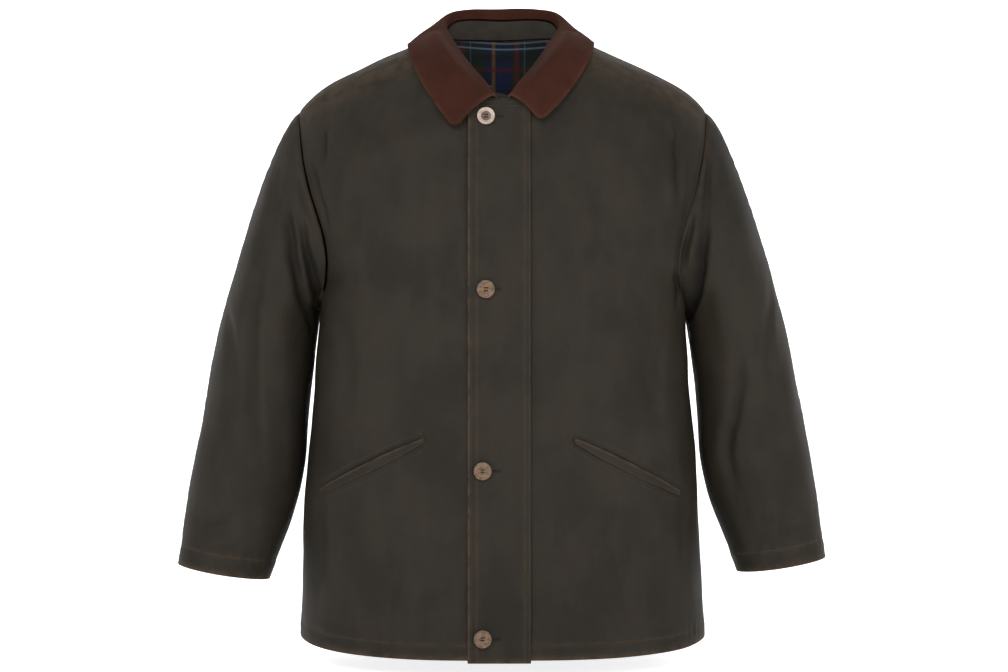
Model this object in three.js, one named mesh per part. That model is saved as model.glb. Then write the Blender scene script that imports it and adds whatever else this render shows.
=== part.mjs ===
// A hip-length field coat, hollow and filled out as on a wearer, with nobody in it.
// Millimetres, +Z up. The front faces -Y and the wearer's left is +X. The origin is at the
// middle of the shoulders, where the wearer's neck and shoulders carry the coat.
// Each piece of cloth is a thin wall: a grid of points on its outer face, and the same
// points moved in by the cloth's thickness.
import * as THREE from "three";

// Cloth and seams
const CLOTH = 2.0;
const COLLAR_CLOTH = 2.4;
const LINING_CLOTH = 1.2;
const SEAM_GAP = 0.3;

// Shoulders: the top edge of the cloth rounds over from front to back
const SHOULDER_ROUND = 140;
const SHOULDER_ARC = 210;
const SECTION_POWER = 0.8;
const SHOULDER_POINT_X = 264;
const SEAM_DROP_SHOULDER = 7;
const SEAM_BEND = { x: 160, drop: 11 };

// Lengths
const UNDERARM_Z = -325;
const UNDERARM_X = 235;
const HEM_SIDE_Z = -750;
const HEM_FRONT_Z = -769;
const HEM_BACK_Z = -760;
const NECK_FRONT_Z = -73;

// Front closing: the wearer's left side laps over the right
const UNDERLAP_X = 16;
const PLACKET = {
  free: -42.5, sewn: 35, top: -72, over: 0.6, lift: 1.0, below: 3,
  steps: [0, 0.15, 0.5, 0.85, 1],
};
const BUTTON = { radius: 11, thick: 3.6, rim: 2.2, dish: 1.1, shank: 0.9 };
const BUTTONS = [
  { x: -18.6, z: -96.0 },
  { x: -21.1, z: -312.2 },
  { x: -23.8, z: -534.5 },
  { x: -23.1, z: -742.5 },
];

// The height of the shoulder's top edge across the coat
const SHOULDER_LINE = [
  { x: 0, z: 80 },
  { x: 45, z: 51 },
  { x: 90, z: 19 },
  { x: 125, z: 3 },
  { x: 170, z: -17 },
  { x: 211, z: -36 },
  { x: 244, z: -57 },
  { x: 264, z: -77 },
  { x: 292, z: -112 },
];

// Level sections of the body: half its width, and its depth to the front and the back
const BODY = [
  { z: 80, half: 290, front: 78, back: 84 },
  { z: 25, half: 290, front: 83, back: 91 },
  { z: -72, half: 290, front: 98, back: 106 },
  { z: -130, half: 287, front: 112, back: 116 },
  { z: -180, half: 275, front: 123, back: 122 },
  { z: -235, half: 255, front: 130, back: 121 },
  { z: -275, half: 243, front: 132, back: 118 },
  { z: -325, half: 235, front: 133, back: 114 },
  { z: -395, half: 241, front: 132, back: 111 },
  { z: -503, half: 250, front: 131, back: 112 },
  { z: -602, half: 256, front: 133, back: 116 },
  { z: -700, half: 260, front: 135, back: 120 },
  { z: -780, half: 262, front: 137, back: 123 },
];

// Seams of the armholes, from the shoulder down to the underarm
const ARMHOLE_FRONT = [
  { x: 264, z: -84 },
  { x: 257, z: -130 },
  { x: 246, z: -180 },
  { x: 229, z: -235 },
  { x: 222, z: -275 },
  { x: 228, z: -309 },
];
const ARMHOLE_BACK = [
  { x: 257, z: -130 },
  { x: 248, z: -180 },
  { x: 233, z: -235 },
  { x: 225, z: -275 },
  { x: 229, z: -309 },
];

// The neck seam from the middle of the back, over the shoulder, to the front edge; drop is
// given where the seam crosses the shoulder's top edge
const NECK_SEAM = [
  { x: 0, z: 25, face: -1 },
  { x: 38, z: 24, face: -1 },
  { x: 64, z: 22.5, face: -1 },
  { x: 80, z: 20.5, face: -1 },
  { x: 88, drop: 0, face: 1 },
  { x: 86, drop: 16, face: 1 },
  { x: 68, z: -29, face: 1 },
  { x: 40, z: -58, face: 1 },
  { x: 8, z: -72, face: 1 },
];

// Sleeve sections below the armhole: the outer and inner edges and half the depth
const SLEEVE = [
  { outX: 352, outZ: -300, inX: 238, inZ: -337, y: 4, deep: 84 },
  { outX: 370, outZ: -372, inX: 245, inZ: -396, y: 5, deep: 82 },
  { outX: 384, outZ: -440, inX: 251.5, inZ: -463, y: 5, deep: 77 },
  { outX: 397, outZ: -510, inX: 257, inZ: -533, y: 3, deep: 70 },
  { outX: 407, outZ: -575, inX: 273, inZ: -597, y: 0, deep: 62 },
  { outX: 414, outZ: -630, inX: 291, inZ: -650, y: -4, deep: 56 },
  { outX: 419, outZ: -663, inX: 302, inZ: -683, y: -6, deep: 52 },
];

// Broad folds of the sleeves: where round the sleeve and where along it, in sections
const SLEEVE_FOLDS = [
  { side: -1, around: 0.28, from: 0.2, to: 3.6, depth: 4.0, width: 0.055 },
  { side: -1, around: 0.41, from: -0.8, to: 1.6, depth: 6.0, width: 0.045 },
  { side: -1, around: 0.72, from: 0.6, to: 3.8, depth: 5.0, width: 0.06 },
  { side: 1, around: 0.22, from: 0.9, to: 3.7, depth: 4.5, width: 0.05 },
  { side: 1, around: 0.40, from: -0.9, to: 1.4, depth: 6.0, width: 0.045 },
  { side: 1, around: 0.77, from: 0.3, to: 3.2, depth: 5.0, width: 0.06 },
];

// The collar from the middle of the back to its points: the roll, and the free edge
const COLLAR_ROLL = [
  { x: 0, y: 71, z: 69 },
  { x: 38, y: 68, z: 69 },
  { x: 62, y: 60, z: 64 },
  { x: 73, y: 44, z: 52 },
  { x: 73, y: 22, z: 34 },
  { x: 58, y: -8, z: 9 },
  { x: 41, y: -42, z: -18 },
  { x: 23, y: -76, z: -44 },
  { x: 8, y: -106, z: -67 },
];
const COLLAR_EDGE = {
  right: [
    { x: 0, z: 3, face: -1 },
    { x: 46, z: 2, face: -1 },
    { x: 84, z: 0, face: -1 },
    { x: 109, z: -1, face: -1 },
    { x: 120, z: 4, face: 1 },
    { x: 116, z: -16, face: 1 },
    { x: 100, z: -53, face: 1 },
    { x: 79, z: -86, face: 1 },
    { x: 59, z: -114, face: 1 },
  ],
  left: [
    { x: 0, z: 3, face: -1 },
    { x: 46, z: 2, face: -1 },
    { x: 84, z: 0, face: -1 },
    { x: 107, z: -1, face: -1 },
    { x: 116, z: 5, face: 1 },
    { x: 112, z: -14, face: 1 },
    { x: 93, z: -49, face: 1 },
    { x: 71, z: -79, face: 1 },
    { x: 47, z: -105, face: 1 },
  ],
};
const COLLAR_BAND = 16;
const COLLAR_BAND_FRONT = 3;
const COLLAR_ROLL_OVER = 4;
const COLLAR_FULL = 0.95;
const COLLAR_CLEAR = 0.6;
const COLLAR_LEAF = [0, 0.06, 0.16, 0.32, 0.52, 0.76, 1];
const BAND_LEAN = 0.12;
const NECK_MIDDLE_Y = -10;
const STAND = { inset: 1.0, above: 1.2, aboveFront: 5.8, below: 2.9, short: 2 };
const LINING = { inside: 2.6, short: 0.28, tuck: 1.4, rows: 6 };
const SLEEVE_INWARDS = -1;
const BEND_FADE = 1.7;

const ARMHOLE_GAP = 0.45;
const LEFT_CUFF_LIFT = 9;

// Slanted pockets: the ends of each welt on the front, and half its height
const POCKETS = {
  right: { inX: -97, inZ: -498, outX: -229, outZ: -564 },
  left: { inX: 89, inZ: -498, outX: 222, outZ: -566 },
};
const WELT = { half: 6.5, end: 1.6, over: 0.5 };

// How finely the cloth is divided
const GRID = {
  down: 20, neckRows: 4, armRows: 8, front: 9, neck: 6,
  cap: 7, perSection: 2, collar: 17, placket: 26, welt: 12, lining: 6, button: 18,
};

const DEGREE = Math.PI / 180;
const V = (x, y, z) => new THREE.Vector3(x, y, z);

// A smooth curve through one column of a table, read at a value of its key column
function column(table, key, value) {
  const rows = [...table].sort((a, b) => a[key] - b[key]);
  const slope = rows.map((row, i) => {
    const low = rows[Math.max(i - 1, 0)];
    const high = rows[Math.min(i + 1, rows.length - 1)];
    return (high[value] - low[value]) / (high[key] - low[key]);
  });
  return (at) => {
    const k = THREE.MathUtils.clamp(at, rows[0][key], rows[rows.length - 1][key]);
    let i = 0;
    while (i < rows.length - 2 && k > rows[i + 1][key]) i += 1;
    const span = rows[i + 1][key] - rows[i][key];
    const t = (k - rows[i][key]) / span;
    const start = rows[i][value] * (1 + 2 * t) * (1 - t) ** 2 + slope[i] * span * t * (1 - t) ** 2;
    return start + rows[i + 1][value] * t * t * (3 - 2 * t) + slope[i + 1] * span * t * t * (t - 1);
  };
}

const shoulderZ = column(SHOULDER_LINE, "x", "z");
const halfAt = column(BODY, "z", "half");
const frontAt = column(BODY, "z", "front");
const backAt = column(BODY, "z", "back");

// The body's cloth is charted by two numbers: round, an angle from the middle of the front
// or back to the side, and down, the length of cloth from the shoulder's top edge. A
// positive down is on the front and a negative one on the back.
function chartPoint(round, down) {
  const face = Math.sign(down) || 1;
  const turn = Math.min(Math.abs(down) / SHOULDER_ARC, 1) * (Math.PI / 2);
  const straight = Math.max(Math.abs(down) - SHOULDER_ARC, 0);
  const drop = SHOULDER_ROUND * (1 - Math.cos(turn)) + straight;
  const across = Math.sin(Math.min(Math.abs(round), Math.PI / 2)) ** SECTION_POWER;
  let x = 200 * across;
  let z = shoulderZ(x) - drop;
  for (let pass = 0; pass < 12; pass += 1) {
    x = halfAt(z) * across;
    z = shoulderZ(x) - drop;
  }
  const deep = face > 0 ? frontAt(z) : backAt(z);
  const y = -face * deep * Math.max(Math.cos(round), 0) ** SECTION_POWER * Math.sin(turn);
  return V(Math.sign(round) * x, y, z);
}

// The chart's two numbers for a place on the front (face 1) or the back (face -1)
function chartOf(x, z, face) {
  const share = Math.min(Math.abs(x) / halfAt(z), 1) ** (1 / SECTION_POWER);
  const drop = Math.max(shoulderZ(Math.abs(x)) - z, 0);
  const inArc = drop < SHOULDER_ROUND;
  const arc = (Math.acos(1 - Math.min(drop / SHOULDER_ROUND, 1)) / (Math.PI / 2)) * SHOULDER_ARC;
  const down = inArc ? arc : SHOULDER_ARC + drop - SHOULDER_ROUND;
  return { round: Math.sign(x) * Math.asin(share), down: face * down };
}

// The cloth's outward normal at a place in the chart
function chartNormal(round, down) {
  if (Math.abs(round) > 89.5 * DEGREE) return V(Math.sign(round), 0, 0);
  const across = chartPoint(round + 0.4 * DEGREE, down).sub(chartPoint(round - 0.4 * DEGREE, down));
  const along = chartPoint(round, down + 0.5).sub(chartPoint(round, down - 0.5));
  return along.cross(across).normalize();
}

function onBody(x, z, face, lift = 0) {
  const at = chartOf(x, z, face);
  return chartPoint(at.round, at.down).addScaledVector(chartNormal(at.round, at.down), lift);
}

// A path in the chart through places on the cloth, read from 0 to 1
function chartPath(places) {
  const points = places.map((place) => V(place.round / DEGREE, place.down, 0));
  const curve = new THREE.CatmullRomCurve3(points, false, "centripetal");
  return (t) => {
    const at = curve.getPointAt(THREE.MathUtils.clamp(t, 0, 1));
    return { round: at.x * DEGREE, down: at.y };
  };
}

// Two paths end to end, the first over the share `split` of the way
function joined(first, second, split) {
  return (t) => (t <= split ? first(t / split) : second((t - split) / (1 - split)));
}

const armholeFront = chartPath([
  ...ARMHOLE_FRONT.map((row) => chartOf(row.x, row.z, 1)),
  { round: 90 * DEGREE, down: chartOf(UNDERARM_X, UNDERARM_Z, 1).down },
]);
const seamBend = chartOf(SEAM_BEND.x, shoulderZ(SEAM_BEND.x) - SEAM_BEND.drop, 1);
const seamEnd = chartOf(SHOULDER_POINT_X, shoulderZ(SHOULDER_POINT_X) - SEAM_DROP_SHOULDER, 1);
const armholeBack = chartPath([
  seamEnd,
  { round: chartOf(265, -77, -1).round, down: 0 },
  ...ARMHOLE_BACK.map((row) => chartOf(row.x, row.z, -1)),
  { round: 90 * DEGREE, down: -chartOf(UNDERARM_X, UNDERARM_Z, 1).down },
]);
const neckPlaces = NECK_SEAM.map((row) => chartOf(row.x, row.z ?? shoulderZ(row.x) - row.drop, row.face));
const neckCorner = neckPlaces[5];
const neckBack = chartPath(neckPlaces.slice(0, 6).reverse());

// The hem's height falls from the side seams to the middle of the front or back
function hemChart(share, face) {
  const middle = face > 0 ? HEM_FRONT_Z : HEM_BACK_Z;
  const z = THREE.MathUtils.lerp(middle, HEM_SIDE_Z, Math.abs(share) ** 2.2);
  const x = Math.sin((Math.abs(share) * Math.PI) / 2) ** SECTION_POWER * halfAt(z);
  return { round: (share * Math.PI) / 2, down: chartOf(x, z, face).down };
}

// A patch of the chart inside four border paths, as a grid of places. The bends of the top
// and bottom borders die out with the distance from them.
function patch(borders, across, down) {
  const { top, bottom, left, right } = borders;
  const mix = (a, b, t) => ({
    round: THREE.MathUtils.lerp(a.round, b.round, t),
    down: THREE.MathUtils.lerp(a.down, b.down, t),
  });
  return grid(across, down, (u, v) => {
    const place = mix(left(v), right(v), u);
    for (const [border, share] of [[top, (1 - v) ** BEND_FADE], [bottom, v]]) {
      const straight = mix(border(0), border(1), u);
      place.round += (border(u).round - straight.round) * share;
      place.down += (border(u).down - straight.down) * share;
    }
    return place;
  });
}

function grid(across, down, value) {
  const rows = [];
  for (let i = 0; i <= down; i += 1) {
    const row = [];
    for (let j = 0; j <= across; j += 1) row.push(value(j / across, i / down));
    rows.push(row);
  }
  return rows;
}

const mapGrid = (rows, change) => rows.map((row, i) => row.map((cell, j) => change(cell, i, j)));

// Body cloth at a height above the chart's surface; side -1 turns it to the wearer's right
function bodyLayer(places, lift, side = 1) {
  return mapGrid(places, (at) => {
    const p = chartPoint(at.round, at.down).addScaledVector(chartNormal(at.round, at.down), lift);
    return V(side * p.x, p.y, p.z);
  });
}

// Outward normals of any other grid, from its neighbours; sign turns them to the outer face
function gridNormals(rows, sign) {
  const last = rows.length - 1;
  const end = rows[0].length - 1;
  return mapGrid(rows, (_, i, j) => {
    const along = rows[i][Math.min(j + 1, end)].clone().sub(rows[i][Math.max(j - 1, 0)]);
    const down = rows[Math.min(i + 1, last)][j].clone().sub(rows[Math.max(i - 1, 0)][j]);
    return along.cross(down).normalize().multiplyScalar(sign);
  });
}

const offset = (rows, normals, distance) => mapGrid(
  rows,
  (p, i, j) => p.clone().addScaledVector(normals[i][j], distance),
);

// Border points moved in along the cloth, by half a seam's gap or more, at the borders named
function trimmed(rows, borders, gap = SEAM_GAP / 2) {
  const last = rows.length - 1;
  const end = rows[0].length - 1;
  const step = (from, to) => to.clone().sub(from).normalize().multiplyScalar(gap);
  return mapGrid(rows, (p, i, j) => {
    const moved = p.clone();
    if (i === 0 && borders.includes("top")) moved.add(step(p, rows[1][j]));
    if (j === 0 && borders.includes("left")) moved.add(step(p, rows[i][1]));
    if (j === end && borders.includes("right")) moved.add(step(p, rows[i][end - 1]));
    if (i === last && borders.includes("bottom")) moved.add(step(p, rows[last - 1][j]));
    return moved;
  });
}

// A closed wall between an outer and an inner grid of the same size
function wall(outer, inner) {
  const rows = outer.length;
  const columns = outer[0].length;
  const position = [...outer.flat(), ...inner.flat()].flatMap((p) => [p.x, p.y, p.z]);
  const at = (layer, i, j) => layer * rows * columns + i * columns + j;
  const index = [];
  const quad = (a, b, c, d) => index.push(a, b, c, a, c, d);
  for (let i = 0; i < rows - 1; i += 1) {
    for (let j = 0; j < columns - 1; j += 1) {
      const falling = outer[i][j].distanceTo(outer[i + 1][j + 1]);
      const rising = outer[i + 1][j].distanceTo(outer[i][j + 1]);
      const corners = [[i, j], [i + 1, j], [i + 1, j + 1], [i, j + 1]];
      if (rising < falling) corners.push(corners.shift());
      quad(...corners.map(([row, col]) => at(0, row, col)));
      const [first, ...others] = corners.map(([row, col]) => at(1, row, col));
      quad(first, ...others.reverse());
    }
  }
  const rim = [];
  for (let j = 0; j < columns - 1; j += 1) rim.push([0, j]);
  for (let i = 0; i < rows - 1; i += 1) rim.push([i, columns - 1]);
  for (let j = columns - 1; j > 0; j -= 1) rim.push([rows - 1, j]);
  for (let i = rows - 1; i > 0; i -= 1) rim.push([i, 0]);
  rim.forEach(([i, j], k) => {
    const [ni, nj] = rim[(k + 1) % rim.length];
    quad(at(0, i, j), at(0, ni, nj), at(1, ni, nj), at(1, i, j));
  });
  const geometry = new THREE.BufferGeometry();
  geometry.setAttribute("position", new THREE.Float32BufferAttribute(position, 3));
  geometry.setIndex(signedVolume(position, index) < 0 ? turned(index) : index);
  geometry.computeVertexNormals();
  return geometry;
}

function signedVolume(position, index) {
  const corner = (k) => V(position[3 * k], position[3 * k + 1], position[3 * k + 2]);
  let sum = 0;
  for (let t = 0; t < index.length; t += 3) {
    sum += corner(index[t]).dot(corner(index[t + 1]).cross(corner(index[t + 2])));
  }
  return sum;
}

function turned(index) {
  const other = [];
  for (let t = 0; t < index.length; t += 3) other.push(index[t], index[t + 2], index[t + 1]);
  return other;
}

const COATED = { color: 0x37322c, roughness: 0.62, metalness: 0 };
const looks = {
  coated: () => new THREE.MeshStandardMaterial(COATED),
  cord: () => new THREE.MeshStandardMaterial({ color: 0x41251c, roughness: 0.9, metalness: 0 }),
  stand: () => new THREE.MeshStandardMaterial({ color: 0x302c24, roughness: 0.7, metalness: 0 }),
  tartan: () => new THREE.MeshStandardMaterial({ color: 0x1c2230, roughness: 0.9, metalness: 0 }),
  horn: () => new THREE.MeshStandardMaterial({ color: 0x6b4a30, roughness: 0.35, metalness: 0 }),
};

const coat = new THREE.Group();
function add(name, geometry, material) {
  const mesh = new THREE.Mesh(geometry, material);
  mesh.name = name;
  coat.add(mesh);
  return mesh;
}

// Side seam from the underarm down to the hem, on either face
function sideSeam(face) {
  return chartPath([
    { round: 90 * DEGREE, down: face * chartOf(UNDERARM_X, UNDERARM_Z, 1).down },
    { round: 90 * DEGREE, down: face * chartOf(halfAt(HEM_SIDE_Z), HEM_SIDE_Z, 1).down },
  ]);
}

const armShare = GRID.armRows / GRID.down;
const neckShare = GRID.neckRows / GRID.down;

// Fronts: shoulder seam on top, neck seam and front edge, armhole and side seam, hem.
// The right front reaches under the placket past the middle, so its edge lies at -x here.
function frontPlaces(side) {
  const edgeX = side > 0 ? UNDERLAP_X + SEAM_GAP : -UNDERLAP_X;
  const corner = chartOf(edgeX, NECK_FRONT_Z, 1);
  const edge = chartPath([
    corner,
    ...[-200, -350, -500, -650].map((z) => chartOf(edgeX, z, 1)),
    chartOf(edgeX, HEM_FRONT_Z, 1),
  ]);
  const start = edge(1).round / (Math.PI / 2);
  return patch({
    top: chartPath([neckCorner, seamBend, armholeFront(0)]),
    bottom: (u) => hemChart(THREE.MathUtils.lerp(start, 1, u), 1),
    left: joined(chartPath([...neckPlaces.slice(5, 8), corner]), edge, neckShare),
    right: joined(armholeFront, sideSeam(1), armShare),
  }, GRID.front, GRID.down);
}

// The back: from one shoulder seam over to the other, with the neck seam between them
function backPlaces() {
  const seam = chartPath([neckCorner, seamBend, seamEnd]);
  const half = joined((t) => seam(1 - t), neckBack, GRID.front / (GRID.front + GRID.neck));
  const top = (u) => {
    const at = half(1 - Math.abs(2 * u - 1));
    return { round: (u < 0.5 ? -1 : 1) * at.round, down: at.down };
  };
  const right = joined(armholeBack, sideSeam(-1), armShare);
  const left = (v) => ({ round: -right(v).round, down: right(v).down });
  const bottom = (u) => hemChart(2 * u - 1, -1);
  return patch({ top, bottom, left, right }, 2 * (GRID.front + GRID.neck), GRID.down);
}

function bodyCloth(places, borders, side = 1) {
  return wall(
    trimmed(bodyLayer(places, 0, side), borders),
    trimmed(bodyLayer(places, -CLOTH, side), borders),
  );
}

for (const [name, side] of [["right", -1], ["left", 1]]) {
  add(`front_${name}`, bodyCloth(frontPlaces(side), ["top", "left", "right"], side), looks.coated());
}
add("back", bodyCloth(backPlaces(), ["top", "left", "right"]), looks.coated());

// The lining of the upper back: the back's own grid moved inside it, its top row brought
// down from the seams and a little further in
function liningLayer(lift) {
  const places = backPlaces().slice(0, LINING.rows + 1).map((row) => row.slice(1, -1));
  const [first, ...others] = bodyLayer(places, lift);
  const deeper = bodyLayer(places.slice(0, 2), lift - LINING.tuck);
  return [first.map((_, j) => deeper[0][j].lerp(deeper[1][j], LINING.short)), ...others];
}
add("back_lining", wall(liningLayer(-LINING.inside), liningLayer(-LINING.inside - LINING_CLOTH)),
  looks.tartan());

// Sleeves. A place on a sleeve is round, from 0 at the top over the front to 1, and along:
// below 0 from the armhole (-1) to the first section, then one for each section.
const ARM_TOP = V(0.75, 0, -0.66);
const ARM_UNDER = V(0.12, 0, -1);
const SLEEVE_AXIS = V(0.25, 0, -0.97);
const CAP_LEAVE = 0.58;
const CAP_JOIN = 1.08;
const CAP_FORWARD = 0.35;
const sleeveColumn = Object.fromEntries(["outX", "outZ", "inX", "inZ", "y", "deep"].map(
  (name) => [name, column(SLEEVE.map((row, i) => ({ ...row, i })), "i", name)],
));

function sectionPoint(along, round, side) {
  const value = (name) => sleeveColumn[name](along);
  const outer = V(value("outX"), value("y"), value("outZ"));
  const inner = V(value("inX"), value("y"), value("inZ"));
  const p = outer.clone().add(inner).multiplyScalar(0.5);
  p.addScaledVector(outer.sub(inner).multiplyScalar(0.5), Math.cos(round * 2 * Math.PI));
  p.y -= value("deep") * Math.sin(round * 2 * Math.PI);
  if (side > 0) p.z += LEFT_CUFF_LIFT * (along / (SLEEVE.length - 1)) ** 2;
  return p;
}

function armholePoint(round) {
  const at = round <= 0.5 ? armholeFront(round * 2) : armholeBack((1 - round) * 2);
  return chartPoint(at.round, at.down).add(V(ARMHOLE_GAP, 0, 0));
}

function sleevePoint(along, round, side) {
  if (along >= 0) return sectionPoint(along, round, side);
  const t = along + 1;
  const start = armholePoint(round);
  const end = sectionPoint(0, round, side);
  const under = (1 - Math.cos(round * 2 * Math.PI)) / 2;
  const reach = start.distanceTo(end);
  const leave = ARM_TOP.clone().lerp(ARM_UNDER, under).normalize();
  leave.y -= CAP_FORWARD * Math.sin(round * 2 * Math.PI);
  const p = start.clone().multiplyScalar((1 + 2 * t) * (1 - t) ** 2);
  p.addScaledVector(leave, CAP_LEAVE * reach * t * (1 - t) ** 2);
  p.addScaledVector(end, t * t * (3 - 2 * t));
  return p.addScaledVector(SLEEVE_AXIS, -CAP_JOIN * reach * t * t * (1 - t));
}

// How far the broad folds press the cloth in at a place on a sleeve
function foldDepth(along, round, side) {
  return SLEEVE_FOLDS.filter((fold) => fold.side === side).reduce((sum, fold) => {
    const t = (along - fold.from) / (fold.to - fold.from);
    if (t <= 0 || t >= 1) return sum;
    const off = (round - fold.around) / fold.width;
    return sum + fold.depth * Math.sin(Math.PI * t) * Math.exp(-off * off);
  }, 0);
}

// A whole sleeve's outer and inner face, its grid closing on itself at the top
function sleeveFaces(side) {
  const around = 2 * GRID.armRows;
  const stops = Array.from({ length: GRID.cap }, (_, i) => i / GRID.cap - 1);
  const last = (SLEEVE.length - 1) * GRID.perSection;
  for (let i = 0; i <= last; i += 1) stops.push(i / GRID.perSection);
  const bare = stops.map((along) => Array.from(
    { length: around + 1 },
    (_, j) => sleevePoint(along, j / around, side),
  ));
  const normals = mapGrid(bare, (_, i, j) => {
    const before = bare[i][j === 0 ? around - 1 : j - 1];
    const after = bare[i][j === around ? 1 : j + 1];
    const down = bare[Math.min(i + 1, stops.length - 1)][j].clone().sub(bare[Math.max(i - 1, 0)][j]);
    return after.clone().sub(before).cross(down).normalize();
  });
  const pressed = (thick) => mapGrid(bare, (p, i, j) => {
    const depth = thick + foldDepth(stops[i], j / around, side);
    const moved = p.clone().addScaledVector(normals[i][j], depth * SLEEVE_INWARDS);
    return V(side * moved.x, moved.y, moved.z);
  });
  return { outer: pressed(0), inner: pressed(CLOTH) };
}

for (const [name, side] of [["right", -1], ["left", 1]]) {
  const { outer, inner } = sleeveFaces(side);
  for (const [half, from, to] of [["front", 0, GRID.armRows], ["back", GRID.armRows, 2 * GRID.armRows]]) {
    const cut = (rows) => trimmed(rows.map((row) => row.slice(from, to + 1)), ["left", "right"]);
    add(`sleeve_${name}_${half}`, wall(cut(outer), cut(inner)), looks.coated());
  }
}

// The placket lies on both fronts, its right edge free and lifted a little
function placketLayer(lift) {
  return Array.from({ length: GRID.placket + 1 }, (_, i) => PLACKET.steps.map((t) => {
    const x = THREE.MathUtils.lerp(PLACKET.free, PLACKET.sewn, t);
    const hem = hemChart(chartOf(x, HEM_FRONT_Z, 1).round / (Math.PI / 2), 1);
    const bottom = chartPoint(hem.round, hem.down).z - PLACKET.below;
    const z = THREE.MathUtils.lerp(PLACKET.top, bottom, i / GRID.placket);
    return onBody(x, z, 1, lift + PLACKET.lift * (1 - t) ** 4);
  }));
}
add("placket", wall(placketLayer(PLACKET.over + CLOTH), placketLayer(PLACKET.over)), looks.coated());

// Buttons: a rim round a shallow dish, turned about the button's own axis
function buttonGeometry() {
  const { radius, thick, rim, dish } = BUTTON;
  const profile = [
    [0, 0], [radius - 1.2, 0], [radius, 1.1], [radius, thick - 0.9], [radius - 0.8, thick],
    [radius - rim, thick], [radius - rim - 1.2, thick - dish], [0, thick - dish],
  ].map(([r, z]) => new THREE.Vector2(r, z));
  return new THREE.LatheGeometry(profile, GRID.button);
}
BUTTONS.forEach((place, k) => {
  const at = chartOf(place.x, place.z, 1);
  const away = chartNormal(at.round, at.down);
  const mesh = add(`button_${k + 1}`, buttonGeometry(), looks.horn());
  mesh.position.copy(onBody(place.x, place.z, 1, PLACKET.over + CLOTH + BUTTON.shank));
  mesh.quaternion.setFromUnitVectors(V(0, 1, 0), away);
});

// Welts: a slanted strip on each front, narrowing to its ends
for (const [name, ends] of Object.entries(POCKETS)) {
  const layer = (lift) => grid(GRID.welt, 2, (t, v) => {
    const x = THREE.MathUtils.lerp(ends.inX, ends.outX, t);
    const half = WELT.end + (WELT.half - WELT.end) * Math.sin(Math.PI * t) ** 0.6;
    const z = THREE.MathUtils.lerp(ends.inZ, ends.outZ, t) + half * (1 - 2 * v);
    return onBody(x, z, 1, lift);
  });
  add(`pocket_welt_${name}`, wall(layer(WELT.over + CLOTH), layer(WELT.over)), looks.coated());
}

// Collar: a rail goes through one row of places from the right end, round the back, to the
// left end, and is read from -1 to 1
function rail(right, left) {
  const flipped = right.slice(1).map((p) => V(-p.x, p.y, p.z)).reverse();
  const curve = new THREE.CatmullRomCurve3([...flipped, ...left], false, "centripetal");
  return (t) => curve.getPoint((t + 1) / 2);
}

// A point kept at least `need` clear of the body's outer face
function clearOfBody(p, need) {
  const face = p.y < 0 ? 1 : -1;
  const at = chartOf(p.x, Math.min(p.z, shoulderZ(Math.abs(p.x))), face);
  const normal = chartNormal(at.round, at.down);
  const height = p.clone().sub(chartPoint(at.round, at.down)).dot(normal);
  return height < need ? p.clone().addScaledVector(normal, need - height) : p;
}

function collarHeight(x, z) {
  const belowNeck = THREE.MathUtils.smoothstep(-z, 50, 80);
  const nearMiddle = 1 - THREE.MathUtils.smoothstep(Math.abs(x), 55, 80);
  const onPlacket = belowNeck * nearMiddle;
  return COLLAR_CLOTH + COLLAR_CLEAR + onPlacket * (PLACKET.over + CLOTH + PLACKET.lift);
}

const edgePlaces = (rows) => rows.map(
  (row) => onBody(row.x, row.z, row.face, collarHeight(row.x, row.z)),
);
const rollPlaces = COLLAR_ROLL.map((row) => V(row.x, row.y, row.z));
const seamPlaces = neckPlaces.map((at) => chartPoint(at.round, at.down));
const edgeRail = rail(edgePlaces(COLLAR_EDGE.right), edgePlaces(COLLAR_EDGE.left));
const rollRail = rail(rollPlaces, rollPlaces);
const seamRail = rail(seamPlaces, seamPlaces);

// One cut across the collar: the foot of the stand, the band's lower edge, and the collar's
// outer face from there over the roll to the free edge
function collarCut(t) {
  const reach = Math.abs(t);
  const [top, foot, end] = [rollRail(t), seamRail(t), edgeRail(t)];
  const band = top.clone().lerp(foot, BAND_LEAN);
  band.z = top.z - THREE.MathUtils.lerp(COLLAR_BAND, COLLAR_BAND_FRONT, reach ** 1.5);
  const over = top.clone().lerp(end, 0.5);
  over.z = THREE.MathUtils.lerp(over.z, top.z + COLLAR_ROLL_OVER, COLLAR_FULL * (1 - 0.5 * reach));
  const leaf = COLLAR_LEAF.map((w) => {
    const p = top.clone().multiplyScalar((1 - w) ** 2);
    p.addScaledVector(over, 2 * w * (1 - w)).addScaledVector(end, w * w);
    return w < 0.3 ? p : clearOfBody(p, collarHeight(p.x, p.z));
  });
  return { t, foot, band, face: [band, band.clone().lerp(top, 0.6), ...leaf] };
}

const cuts = Array.from({ length: 2 * GRID.collar + 1 }, (_, i) => collarCut(i / GRID.collar - 1));
const collarFace = cuts.map((cut) => cut.face);
add("collar", wall(collarFace, offset(collarFace, gridNormals(collarFace, 1), -COLLAR_CLOTH)),
  looks.cord());

// The stand inside the collar, from the neck seam up to the collar's band
const standFace = cuts.slice(STAND.short, -STAND.short).map(({ t, foot, band }) => {
  const inwards = V(0, NECK_MIDDLE_Y, foot.z).sub(foot).normalize();
  const low = foot.clone().addScaledVector(inwards, STAND.inset + CLOTH);
  low.z += THREE.MathUtils.lerp(STAND.above, STAND.aboveFront, t ** 6);
  const high = V(band.x, band.y, band.z - STAND.below);
  return [0, 0.5, 1].map((share) => low.clone().lerp(high, share));
});
add("collar_stand", wall(standFace, offset(standFace, gridNormals(standFace, 1), -CLOTH)),
  looks.stand());

export default coat;
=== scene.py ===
import math
from collections import namedtuple

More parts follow.
